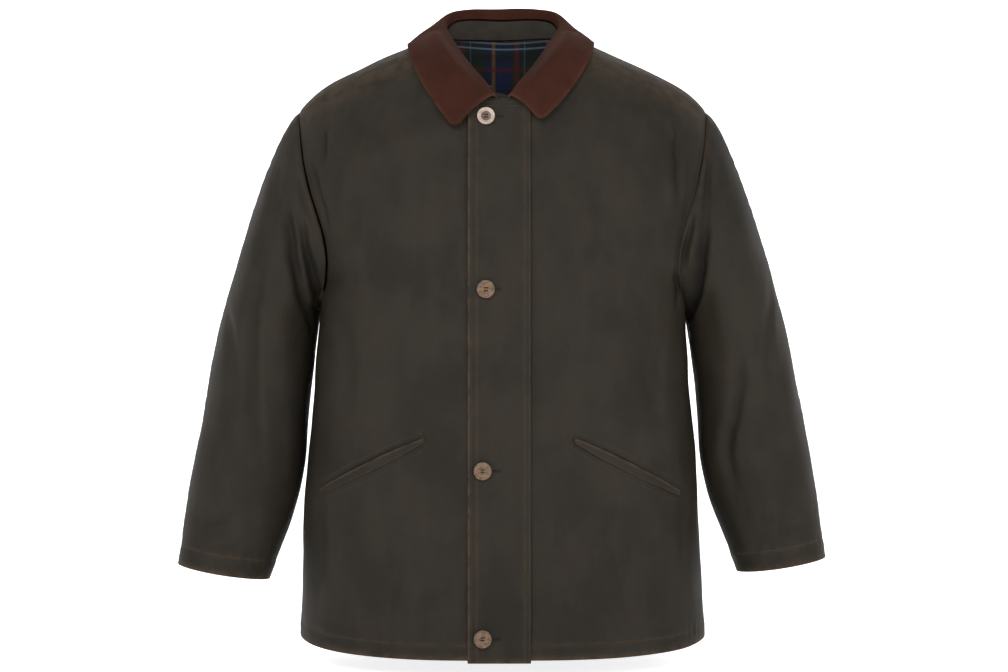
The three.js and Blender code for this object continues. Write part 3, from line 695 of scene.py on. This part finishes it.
def lit_paper(name, glow):
    """Plain pale matt paper, lit a little from behind."""
    finish = Finish(name)
    tooth = finish.noise(0.01, 3.0)
    colour = finish.mix(tooth, (0.90, 0.90, 0.90), (0.93, 0.93, 0.93))
    return finish.surface(colour, 0.9, finish.bump(tooth, 0.2 * MM, 0.2), Specular_IOR_Level=0.1,
                          Emission_Color=(1.0, 1.0, 1.0, 1.0), Emission_Strength=glow)


WAXED = waxed_cotton()
CORD = corduroy()
STAND = stand_cotton()
CHECK = checked_cotton()
HORN = horn("brown horn", (0.150, 0.084, 0.041), (0.052, 0.025, 0.012))
PALE_HORN = horn("pale horn", (0.40, 0.31, 0.25), (0.24, 0.175, 0.135))
DARK_HORN = horn("dark horn", (0.085, 0.048, 0.028), (0.034, 0.018, 0.010))
DARK_THREAD = thread("dark thread", (0.018, 0.014, 0.010))
WAXED_THREAD = thread("waxed thread", (0.040, 0.029, 0.018))


# ---- The pieces of cloth ----------------------------------------------------------------

def shared(border, beside, ghost):
    """A neighbour's next points where the border lies on the neighbour's, and nothing elsewhere."""
    close = np.linalg.norm(border - beside, axis=1) < 3 * MM
    return np.where(close[:, None], ghost, np.nan)


def below(away, soft):
    """1 well below a line and 0 well above it, where away is how far above it a point is."""
    return (1 - np.tanh(away / (2 * soft))) / 2


def hem_thickness(cloth, stitch):
    """Cloth turned up double below its stitching."""
    return CLOTH + HEM_EXTRA * below(cloth.from_hem - stitch, 1.2 * MM)


def body_cloths():
    right, right_out = frame_grid("front_right")
    left, left_out = frame_grid("front_left")
    back, back_out = frame_grid("back")
    half = right.shape[1]
    fronts_top = np.full_like(back[0], np.nan)
    fronts_top[:half] = right[1, ::-1]
    fronts_top[-half:] = left[1]
    return {
        "front_right": Cloth(right, right_out, 12, 10, top=back[1, half - 1::-1],
                             right=shared(right[:, -1], back[:, 0], back[:, 1])),
        "front_left": Cloth(left, left_out, 12, 10, top=back[1, -half:],
                            right=shared(left[:, -1], back[:, -1], back[:, -2])),
        "back": Cloth(back, back_out, 12, 6, top=fronts_top,
                      left=shared(back[:, 0], right[:, -1], right[:, -2]),
                      right=shared(back[:, -1], left[:, -1], left[:, -2])),
    }


def sleeve_cloths():
    cloths = {}
    for side in ("right", "left"):
        names = [f"sleeve_{side}_front", f"sleeve_{side}_back"]
        grids = [frame_grid(name) for name in names]
        for (name, (points, out)), (other, _) in zip(zip(names, grids), grids[::-1]):
            cloths[name] = Cloth(points, out, 11, 8, left=other[:, 1], right=other[:, -2])
    return cloths


def soften(body, sleeves, lining):
    """Put in the creases with their painted shade, the unevenness, the hems, the marks of wear and the
    painted light at the tops.
    """
    everything = [*body.values(), *sleeves.values()]
    for cloth in (*everything, lining):
        cloth.move(sum(swell(cloth.points, *waves) for waves in BODY_SWELLS))
    for cloth in sleeves.values():
        cloth.hold_seam(cloth.from_top, SLEEVE_FREE)
    for cloth in body.values():
        cloth.hold_seam(cloth.from_right, BODY_FREE)
    body["back"].hold_seam(body["back"].from_left, BODY_FREE)
    fronts = [cloth for node, cloth in (*body.items(), *sleeves.items()) if "front" in node]
    backs = [cloth for node, cloth in (*body.items(), *sleeves.items()) if "back" in node]
    crease(everything, FRONT_CREASES, fronts)
    crease((*everything, lining), BACK_CREASES, backs)
    for cloth in everything:
        is_sleeve = cloth in sleeves.values()
        stitch = CUFF_STITCH if is_sleeve else HEM_STITCH
        hem = cloth.from_hem
        along = cloth.points[..., 0] + 0.6 * cloth.points[..., 1]
        step = 0.5 * MM * below(hem - stitch, 1.5 * MM)
        groove = -0.5 * MM * np.exp(-((hem - stitch) / (2.5 * MM)) ** 2)
        puckers = pucker(along, hem - stitch, 13 * MM, 9 * MM, 0.42 * MM)
        cloth.move(step + groove + puckers)
        cloth.mark_wear_and_light(hem, 5 * MM, 0.75)
        cloth.mark_wear_and_light(hem - stitch, 2.5 * MM, 0.35)
        if is_sleeve:
            seam = cloth.from_left
            cloth.move(pucker(cloth.from_top, seam, 17 * MM, 8 * MM, 0.4 * MM))
            cloth.mark_wear_and_light(seam, 7 * MM, 0.75)
            cloth.mark_wear_and_light(cloth.from_top, 9 * MM, 0.3)
        else:
            cloth.mark_wear_and_light(cloth.from_top, 8 * MM, 0.6)
            # A broad band at the tops: partly rubbed wax, partly painted light that makes the shoulders
            # lighter
            cloth.mark_wear_and_light(cloth.from_top, 38 * MM, 0.6)
            cloth.mark_wear_and_light(cloth.from_right, 5 * MM, 0.25)


def placket_cloth():
    points, out = frame_grid("placket")
    cloth = Cloth(points, out, 9, 7)
    for away in (cloth.from_left - PLACKET_STITCH, cloth.from_right - PLACKET_SEAM_STITCH):
        cloth.move(-0.45 * MM * np.exp(-(away / (2.2 * MM)) ** 2))
        cloth.mark_wear_and_light(away, 2.0 * MM, 0.3)
    cloth.move(pucker(cloth.from_top, cloth.from_left - PLACKET_STITCH, 15 * MM, 7 * MM, 0.22 * MM))
    cloth.move(swell(cloth.points, *PLACKET_SWELL))
    cloth.mark_wear_and_light(cloth.from_left, 3.0 * MM, 0.8)
    cloth.mark_wear_and_light(cloth.from_right, 2.5 * MM, 0.3)
    cloth.mark_wear_and_light(cloth.from_hem, 4.0 * MM, 0.7)
    return cloth


def round_corner(cloth, radius, ends):
    """Round the corners of a cloth where its last column meets its first and last rows."""
    for away in ends:
        corner = (away < radius) & (cloth.from_right < radius)
        u, v = 1 - away / radius, 1 - cloth.from_right / radius
        shift_u = radius * u * (1 - np.sqrt(np.clip(1 - v ** 2 / 2, 0, 1)))
        shift_v = radius * v * (1 - np.sqrt(np.clip(1 - u ** 2 / 2, 0, 1)))
        inwards_u = unit(np.gradient(cloth.points, axis=0)) * (1 if away is cloth.from_top else -1)
        inwards_v = -unit(np.gradient(cloth.points, axis=1))
        shift = inwards_u * shift_u[..., None] + inwards_v * shift_v[..., None]
        cloth.points = cloth.points + np.where(corner[..., None], shift, 0)
    cloth.out = cloth.sign * ways_out(cloth.points)


def collar_cloth():
    points, out = frame_grid("collar")
    even = np.stack([even_line(row, 20) for row in points])
    for _ in range(3):
        even[:, 1:-1] = (even[:, :-2] + 2 * even[:, 1:-1] + even[:, 2:]) / 4
    cloth = Cloth(even, ways_out(even) * np.sign((ways_out(points) * out).sum()), 7, 3)
    round_corner(cloth, COLLAR_TIP_RADIUS, (cloth.from_top, cloth.from_hem))
    cloth.move(swell(cloth.points, *COLLAR_SWELL))
    for away in (cloth.from_top, cloth.from_hem, cloth.from_right):
        cloth.move(-0.35 * MM * np.exp(-((away - COLLAR_STITCH) / (2.2 * MM)) ** 2))
        cloth.mark_wear_and_light(away, 4 * MM, 0.6)
    return cloth


def stand_cloth(body, collar):
    """The band inside the neck, from the neck seam up to the corduroy."""
    edges = [body["front_right"].points[:, 0], body["back"].points[0], body["front_left"].points[:, 0]]
    right = edges[0][edges[0][:, 2] > -73.5 * MM][::-1]
    left = edges[2][edges[2][:, 2] > -73.5 * MM]
    start = np.linalg.norm(edges[1] - right[-1], axis=1).argmin()
    end = np.linalg.norm(edges[1] - left[0], axis=1).argmin()
    foot = even_line(np.concatenate([right, edges[1][start:end + 1], left]), 120)[6:-6]
    band = even_line(collar.points[:, 0], 120)[6:-6]
    axis = np.array([0, -10 * MM, 0])
    inwards = unit((axis - foot) * (1, 1, 0))
    share = np.abs(np.linspace(-1, 1, len(foot)))[:, None] ** 6
    low = foot + inwards * 3.2 * MM + (0, 0, 1.2 * MM) + share * (0, 0, 4.6 * MM)
    high = band - (0, 0, 2.9 * MM) + inwards * 0.4 * MM
    rows = np.stack([low + (high - low) * up for up in (1, 0.75, 0.5, 0.25, 0)])
    return Cloth(rows, np.broadcast_to(inwards, rows.shape), 4, 1)


def lining_cloth():
    points, out = frame_grid("back_lining")
    return Cloth(points, out, 6, 4)


def welt_cloth(node):
    points, out = frame_grid(node)
    cloth = Cloth(points, out, 8, 8)
    across = cloth.from_left / np.maximum(cloth.from_left[:, -1:], 1e-9)
    cloth.move(-0.5 * MM * np.sin(math.pi * across.clip(0, 1)) ** 0.5)
    cloth.mark_wear_and_light(cloth.from_left, 2 * MM, 0.7)
    cloth.mark_wear_and_light(cloth.from_right, 2 * MM, 0.35)
    return cloth


def press_under_welts(fronts, welts):
    """The pocket's opening: the front falls away above each welt, with painted shade in the trough."""
    for welt in welts:
        line = welt.points[::4, 0]
        for cloth in fronts:
            opening = trough(cloth.points, cloth.out, line, 4.0 * MM, 3.0 * MM)
            # Painted shade in the opening's trough
            cloth.painted_shade = np.maximum(cloth.painted_shade, (-opening / (2 * MM)).clip(0, 1))
            cloth.move(opening)


# ---- Stitches ---------------------------------------------------------------------------

def at_distance(cloth, away, distance):
    """The line of points where one of a cloth's distances has a value, and the way out there."""
    points, out = [], []
    for row_away, row_points, row_out in zip(away, cloth.points, cloth.out):
        order = np.argsort(row_away)
        if not row_away[order[0]] <= distance <= row_away[order[-1]]:
            continue
        points.append([np.interp(distance, row_away[order], row_points[order, axis]) for axis in range(3)])
        out.append([np.interp(distance, row_away[order], row_out[order, axis]) for axis in range(3)])
    return np.array(points), unit(np.array(out))


class Turned:
    """A cloth with its rows taken as columns, for lines that run across it."""

    def __init__(self, cloth):
        self.points = cloth.points.swapaxes(0, 1)
        self.out = cloth.out.swapaxes(0, 1)


def laid_on(cloth, places):
    """Places (x, z) put on a cloth's face, and the way out there."""
    points, ways = cloth.points.reshape(-1, 3), cloth.out.reshape(-1, 3)
    far = ((points[None, :, [0, 2]] - places[:, None]) ** 2).sum(axis=2)
    near = np.argsort(far, axis=1)[:, :6]
    share = 1 / (np.take_along_axis(far, near, axis=1) + 1e-7)
    share = share / share.sum(axis=1, keepdims=True)
    depth = (points[near, 1] * share).sum(axis=1)
    out = unit((ways[near] * share[..., None]).sum(axis=1))
    return np.stack([places[:, 0], depth, places[:, 1]], axis=1), out


def pocket_runs(front, welt):
    """Stitches above and below a pocket, and a bar across its end nearest the placket."""
    upper, lower = welt.points[::4, 0][:, [0, 2]], welt.points[::4, -1][:, [0, 2]]
    way = unit(upper[-1] - upper[0])
    up = np.array([-way[1], way[0]])
    up = up if up[1] > 0 else -up
    above, below_it = upper + up * POCKET_STITCH, lower - up * POCKET_STITCH
    bar = above[:1] + (below_it[:1] - above[:1]) * np.linspace(0, 1, 9)[:, None]
    return [laid_on(front, line) for line in (above, below_it, bar)]


def upper_part(run):
    """The part of a run that is above the bottom of the armhole."""
    points, out = run
    high = points[:, 2] > ARMHOLE_BOTTOM
    return points[high], out[high]


def one_stitch(long, across):
    """One short stitch of thread along X, rounded at both ends."""
    bpy.ops.object.select_all(action="DESELECT")
    bpy.ops.mesh.primitive_uv_sphere_add(segments=6, ring_count=5, radius=0.5)
    stitch = bpy.context.object
    bpy.ops.object.mode_set(mode="EDIT")
    bpy.ops.mesh.select_all(action="SELECT")
    bpy.ops.transform.rotate(value=math.pi / 2, orient_axis="Y", center_override=(0, 0, 0))
    bpy.ops.transform.resize(value=(long, across, across), center_override=(0, 0, 0))
    bpy.ops.object.mode_set(mode="OBJECT")
    points = np.array([vert.co[:] for vert in stitch.data.vertices])
    faces = [list(face.vertices) for face in stitch.data.polygons]
    bpy.data.objects.remove(stitch)
    return points, faces


def sew(name, runs, finish):
    """One piece of all the stitches along runs of (points, ways out)."""
    shape, shape_faces = one_stitch(STITCH_LENGTH, STITCH_THICK)
    points, faces = [], []
    for line, out in runs:
        length = np.linalg.norm(np.diff(line, axis=0), axis=1).sum()
        count = max(int(length / STITCH_PITCH), 1)
        knots = even_line(line, 2 * count)
        spread = np.linspace(0, len(line) - 1, 2 * count + 1)
        order = np.arange(len(line))
        lifts = np.stack([np.interp(spread, order, out[:, axis]) for axis in range(3)], axis=1)
        for k in range(1, 2 * count, 2):
            way = unit(knots[k + 1] - knots[k - 1])
            side = unit(np.cross(lifts[k], way))
            turn = np.stack([way, side, np.cross(way, side)])
            base = len(points) * len(shape)
            points.append(knots[k] + shape @ turn + lifts[k] * 0.12 * MM)
            faces.extend([[base + corner for corner in face] for face in shape_faces])
    mesh = bpy.data.meshes.new(name)
    mesh.from_pydata(np.concatenate(points).tolist(), [], faces)
    mesh.materials.append(finish)
    mesh.shade_smooth()
    return put_in_scene(name, mesh)


# ---- Buttons and buttonholes ------------------------------------------------------------

def edit(piece, mode="FACE"):
    """Open a piece in edit mode with nothing selected."""
    bpy.ops.object.select_all(action="DESELECT")
    piece.select_set(True)
    bpy.context.view_layer.objects.active = piece
    bpy.ops.object.mode_set(mode="EDIT")
    bpy.ops.mesh.select_mode(type=mode)
    bpy.ops.mesh.select_all(action="DESELECT")
    return bmesh.from_edit_mesh(piece.data)


def new_cylinder(radius, depth, sides, place):
    bpy.ops.object.select_all(action="DESELECT")
    bpy.ops.mesh.primitive_cylinder_add(vertices=sides, radius=radius, depth=depth, location=place)
    bpy.ops.object.transform_apply(location=True, rotation=True, scale=True)
    return bpy.context.object


def apply_modifier(piece, kind, **settings):
    modifier = piece.modifiers.new(kind.title(), kind)
    for name, value in settings.items():
        setattr(modifier, name, value)
    bpy.ops.object.select_all(action="DESELECT")
    piece.select_set(True)
    bpy.context.view_layer.objects.active = piece
    bpy.ops.object.modifier_apply(modifier=modifier.name)


def model_button(rim, dish):
    """A button on its back at the origin: a raised rim, a dish and four holes."""
    button = new_cylinder(BUTTON_RADIUS, BUTTON_THICK, 48, (0, 0, BUTTON_THICK / 2))
    shape = edit(button)
    for face in shape.faces:
        face.select = face.normal.z > 0.9
    bpy.ops.mesh.inset(thickness=rim * 0.45, depth=0)
    bpy.ops.mesh.inset(thickness=rim * 0.55, depth=-dish)
    bpy.ops.mesh.inset(thickness=1.0 * MM, depth=-0.15 * MM)
    bpy.ops.object.mode_set(mode="OBJECT")
    apply_modifier(button, "BEVEL", width=0.45 * MM, segments=3, limit_method="ANGLE",
                   angle_limit=math.radians(35))
    far = HOLE_FROM_MIDDLE
    for x, y in ((far, far), (-far, far), (far, -far), (-far, -far)):
        drill = new_cylinder(HOLE_RADIUS, 4 * BUTTON_THICK, 16, (x, y, 0))
        apply_modifier(button, "BOOLEAN", object=drill, operation="DIFFERENCE", solver="EXACT")
        bpy.data.objects.remove(drill)
    return button


def model_button_thread():
    """Two parallel bars of thread through the holes."""
    bars = []
    for y in (-HOLE_FROM_MIDDLE, HOLE_FROM_MIDDLE):
        bpy.ops.object.select_all(action="DESELECT")
        bpy.ops.mesh.primitive_torus_add(major_radius=1.75 * MM, minor_radius=0.55 * MM, major_segments=20,
                                         minor_segments=8, location=(0, y, BUTTON_THICK - 2.3 * MM),
                                         rotation=(math.pi / 2, 0, 0))
        bpy.ops.object.transform_apply(location=True, rotation=True, scale=True)
        bars.append(bpy.context.object)
    bpy.ops.object.select_all(action="DESELECT")
    for bar in bars:
        bar.select_set(True)
    bpy.context.view_layer.objects.active = bars[0]
    bpy.ops.object.join()
    return bars[0]


def model_buttonhole():
    """A bound slit at the origin, along X: a flat ring of thread round a dark opening."""
    bpy.ops.object.select_all(action="DESELECT")
    bpy.ops.mesh.primitive_torus_add(major_radius=BUTTONHOLE_LENGTH / 2, minor_radius=0.62 * MM,
                                     major_segments=48, minor_segments=8, location=(0, 0, 0))
    ring = bpy.context.object
    edit(ring, "VERT")
    bpy.ops.mesh.select_all(action="SELECT")
    bpy.ops.transform.resize(value=(1, 0.14, 1), center_override=(0, 0, 0))
    bpy.ops.object.mode_set(mode="OBJECT")
    for vert in ring.data.vertices:
        side = 1 if vert.co.y > 0 else -1
        vert.co.y = side * max(abs(vert.co.y), 0.12 * MM) * 1.2
    return ring


def copy_at(model, name, finishes, place, out):
    """A copy of a model with its own mesh, its +Z turned to the way out at a place.

    The second of the finishes, where there is one, is for the dish in its middle.
    """
    mesh = model.data.copy()
    mesh.name = name
    in_dish = [face.center.xy.length < DISH_RADIUS for face in mesh.polygons]
    out = Vector(out).normalized()
    side = Vector((0, 0, 1)).cross(out).normalized()
    turn = Matrix((side, out.cross(side), out)).transposed().to_4x4()
    mesh.transform(Matrix.Translation(place) @ turn)
    mesh.materials.clear()
    for finish in finishes:
        mesh.materials.append(finish)
    if len(finishes) > 1:
        mesh.polygons.foreach_set("material_index", np.array(in_dish, dtype=np.int32))
    mesh.shade_smooth()
    mesh.set_sharp_from_angle(angle=math.radians(40))
    return put_in_scene(name, mesh)


def nearest(cloth, x, z):
    far = (cloth.points[..., 0] - x) ** 2 + (cloth.points[..., 2] - z) ** 2
    row, column = np.unravel_index(far.argmin(), far.shape)
    return Vector(cloth.points[row, column]), Vector(cloth.out[row, column])


def fastenings(placket):
    """Four buttons with their thread, and four buttonholes."""
    horn_model = model_button(2.2 * MM, 1.1 * MM)
    pale_model = model_button(3.6 * MM, 1.3 * MM)
    thread_model = model_button_thread()
    hole_model = model_buttonhole()
    made = []
    for number, (x, z) in enumerate(BUTTONS, 1):
        spot, out = nearest(placket, x * MM, z * MM)
        seat = spot + out * 0.9 * MM
        model, finishes = (pale_model, (PALE_HORN, DARK_HORN)) if number == 1 else (horn_model, (HORN,))
        button = copy_at(model, f"coat_button_{number}", finishes, seat, out)
        made.append((button, [f"button_{number}"], "horn_button"))
        tie = copy_at(thread_model, f"button_thread_{number}", (DARK_THREAD,), seat, out)
        made.append((tie, [], "horn_button"))
        slit, way = nearest(placket, x * MM + 15 * MM, z * MM)
        hole = copy_at(hole_model, f"buttonhole_{number}", (DARK_THREAD,), slit + way * 0.25 * MM, way)
        made.append((hole, [], "coated_cloth"))
    for model in (horn_model, pale_model, thread_model, hole_model):
        bpy.data.objects.remove(model)
    return made


# ---- The coat ---------------------------------------------------------------------------

Sheet = namedtuple("Sheet", "flat area rests_on")
SHEETS = {
    "front_right": Sheet((0.35, 0.855), 0.231, ["back"]),
    "front_left": Sheet((0.32, 0.825), 0.208, ["back"]),
    "back": Sheet((0.645, 0.88), 0.467, []),
    "sleeve_right_front": Sheet((0.23, 0.61), 0.105, ["front_right"]),
    "sleeve_right_back": Sheet((0.23, 0.61), 0.110, ["back"]),
    "sleeve_left_front": Sheet((0.23, 0.61), 0.104, ["front_left"]),
    "sleeve_left_back": Sheet((0.23, 0.61), 0.108, ["back"]),
    "placket": Sheet((0.078, 0.705), 0.0547, ["front_left"]),
    "pocket_welt_right": Sheet((0.161, 0.013), 0.0015, ["front_right"]),
    "pocket_welt_left": Sheet((0.160, 0.013), 0.0015, ["front_left"]),
    "collar": Sheet((0.71, 0.107), 0.0532, ["back"]),
    "collar_stand": Sheet((0.53, 0.028), 0.0125, ["back"]),
    "back_lining": Sheet((0.53, 0.276), 0.131, ["back"]),
}


def sew_coat():
    """Make every piece, hang it on the root and hide the parts of the frame that it stands for."""
    body = body_cloths()
    sleeves = sleeve_cloths()
    lining = lining_cloth()
    soften(body, sleeves, lining)
    placket = placket_cloth()
    collar = collar_cloth()
    welts = {node: welt_cloth(node) for node in ("pocket_welt_right", "pocket_welt_left")}
    press_under_welts([body["front_right"], body["front_left"]], welts.values())
    stand = stand_cloth(body, collar)

    made = []
    for node, cloth in body.items():
        piece = shell(f"{node}_cloth", cloth, (WAXED, CHECK), hem_thickness(cloth, HEM_STITCH))
        made.append((piece, [node], "coated_cloth"))
    for node, cloth in sleeves.items():
        piece = shell(f"{node}_cloth", cloth, (WAXED, STAND), hem_thickness(cloth, CUFF_STITCH))
        made.append((piece, [node], "coated_cloth"))
    for node, cloth, finish, thick, slot in (
            ("placket", placket, WAXED, CLOTH, "coated_cloth"),
            ("collar", collar, CORD, COLLAR_CLOTH, "corduroy"),
            ("collar_stand", stand, STAND, CLOTH, "stand_cloth"),
            ("back_lining", lining, CHECK, LINING_CLOTH, "checked_lining"),
            ("pocket_welt_right", welts["pocket_welt_right"], WAXED, CLOTH, "coated_cloth"),
            ("pocket_welt_left", welts["pocket_welt_left"], WAXED, CLOTH, "coated_cloth")):
        wales = None
        if node == "collar":
            rows, columns = cloth.points.shape[:2]
            wales = np.broadcast_to(np.linspace(0, COLLAR_LENGTH, rows)[:, None], (rows, columns))
        piece = shell(f"{node}_cloth", cloth, (finish,), thick, 0.5 * MM, wales)
        made.append((piece, [node], slot))

    hems = [at_distance(Turned(cloth), cloth.from_hem.T, HEM_STITCH) for cloth in body.values()]
    cuffs = [at_distance(Turned(cloth), cloth.from_hem.T, CUFF_STITCH) for cloth in sleeves.values()]
    sides = [at_distance(placket, placket.from_left, PLACKET_STITCH),
             at_distance(placket, placket.from_right, PLACKET_SEAM_STITCH)]
    made.append((sew("hem_stitches", hems, WAXED_THREAD), [], "coated_cloth"))
    made.append((sew("cuff_stitches", cuffs, WAXED_THREAD), [], "coated_cloth"))
    sides += [at_distance(Turned(placket), placket.from_top.T, far) for far in (5 * MM, 10 * MM)]
    made.append((sew("placket_stitches", sides, WAXED_THREAD), [], "coated_cloth"))
    fronts = (body["front_right"], body["front_left"])
    shoulders = [at_distance(Turned(front), front.from_top.T, far)
                 for front in fronts for far in SEAM_STITCHES]
    armholes = [upper_part(at_distance(front, front.from_right, SEAM_STITCHES[0])) for front in fronts]
    overarms = [at_distance(cloth, cloth.from_left, far)
                for node, cloth in sleeves.items() if "front" in node for far in SEAM_STITCHES]
    pockets = [run for front, welt in zip(fronts, welts.values()) for run in pocket_runs(front, welt)]
    for name, runs in (("shoulder_stitches", shoulders), ("armhole_stitches", armholes),
                       ("overarm_stitches", overarms), ("pocket_stitches", pockets)):
        made.append((sew(name, runs, WAXED_THREAD), [], "coated_cloth"))
    made.extend(fastenings(placket))
    for piece, nodes, slot in made:
        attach(piece, "root")
        if nodes:
            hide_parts(*nodes)
        nodes and nodes[0] in SHEETS


# ---- Floor, light and camera ------------------------------------------------------------

CAMERA_PLACE = (0.002, -2.6, -0.369)
CAMERA_LENS = 71.43
COAT_MIDDLE = (0, 0, -0.35)
LAMP_SIZE = 1.8
LAMPS = (("soft key", (-1.1, -2.5, 1.5), 62), ("soft fill", (1.8, -2.2, 0.7), 30))
PAPER_SIZE = 30
FLOOR_Z = -0.79
FLOOR_GLOW = 0.8
BACKDROP_GLOW = 0.95
WORLD_LIGHT = 0.45


def lay_paper(name, place, turn, glow):
    bpy.ops.object.select_all(action="DESELECT")
    bpy.ops.mesh.primitive_plane_add(size=PAPER_SIZE, location=place, rotation=turn)
    bpy.ops.object.transform_apply(location=True, rotation=True, scale=True)
    paper = bpy.context.object
    paper.name = name
    paper.data.materials.append(lit_paper(name, glow))


def add_lamp(name, place, power):
    """A soft square lamp that points at the middle of the coat."""
    lamp = bpy.data.lights.new(name, "AREA")
    lamp.shape = "SQUARE"
    lamp.size = LAMP_SIZE
    lamp.energy = power
    holder = put_in_scene(name, lamp)
    holder.location = place
    holder.rotation_euler = (Vector(COAT_MIDDLE) - Vector(place)).to_track_quat("-Z", "Y").to_euler()


def set_light():
    world = bpy.data.worlds.new("studio")
    bpy.context.scene.world = world
    world.use_nodes = True
    sky = world.node_tree.nodes["Background"].inputs
    sky["Color"].default_value = (1.0, 1.0, 1.0, 1.0)
    sky["Strength"].default_value = WORLD_LIGHT
    for name, place, power in LAMPS:
        add_lamp(name, place, power)
    bpy.context.scene.view_settings.view_transform = "Standard"


def set_camera():
    lens = bpy.data.cameras.new("camera")
    lens.sensor_width = 36
    lens.lens = CAMERA_LENS
    lens.clip_end = 60
    camera = put_in_scene("camera", lens)
    camera.location = CAMERA_PLACE
    camera.rotation_euler = (math.pi / 2, 0, 0)
    bpy.context.scene.camera = camera


set_camera()
sew_coat()
lay_paper("floor", (0, 0, FLOOR_Z), (0, 0, 0), FLOOR_GLOW)
lay_paper("backdrop", (0, 9, FLOOR_Z + 10), (math.pi / 2, 0, 0), BACKDROP_GLOW)
set_light()
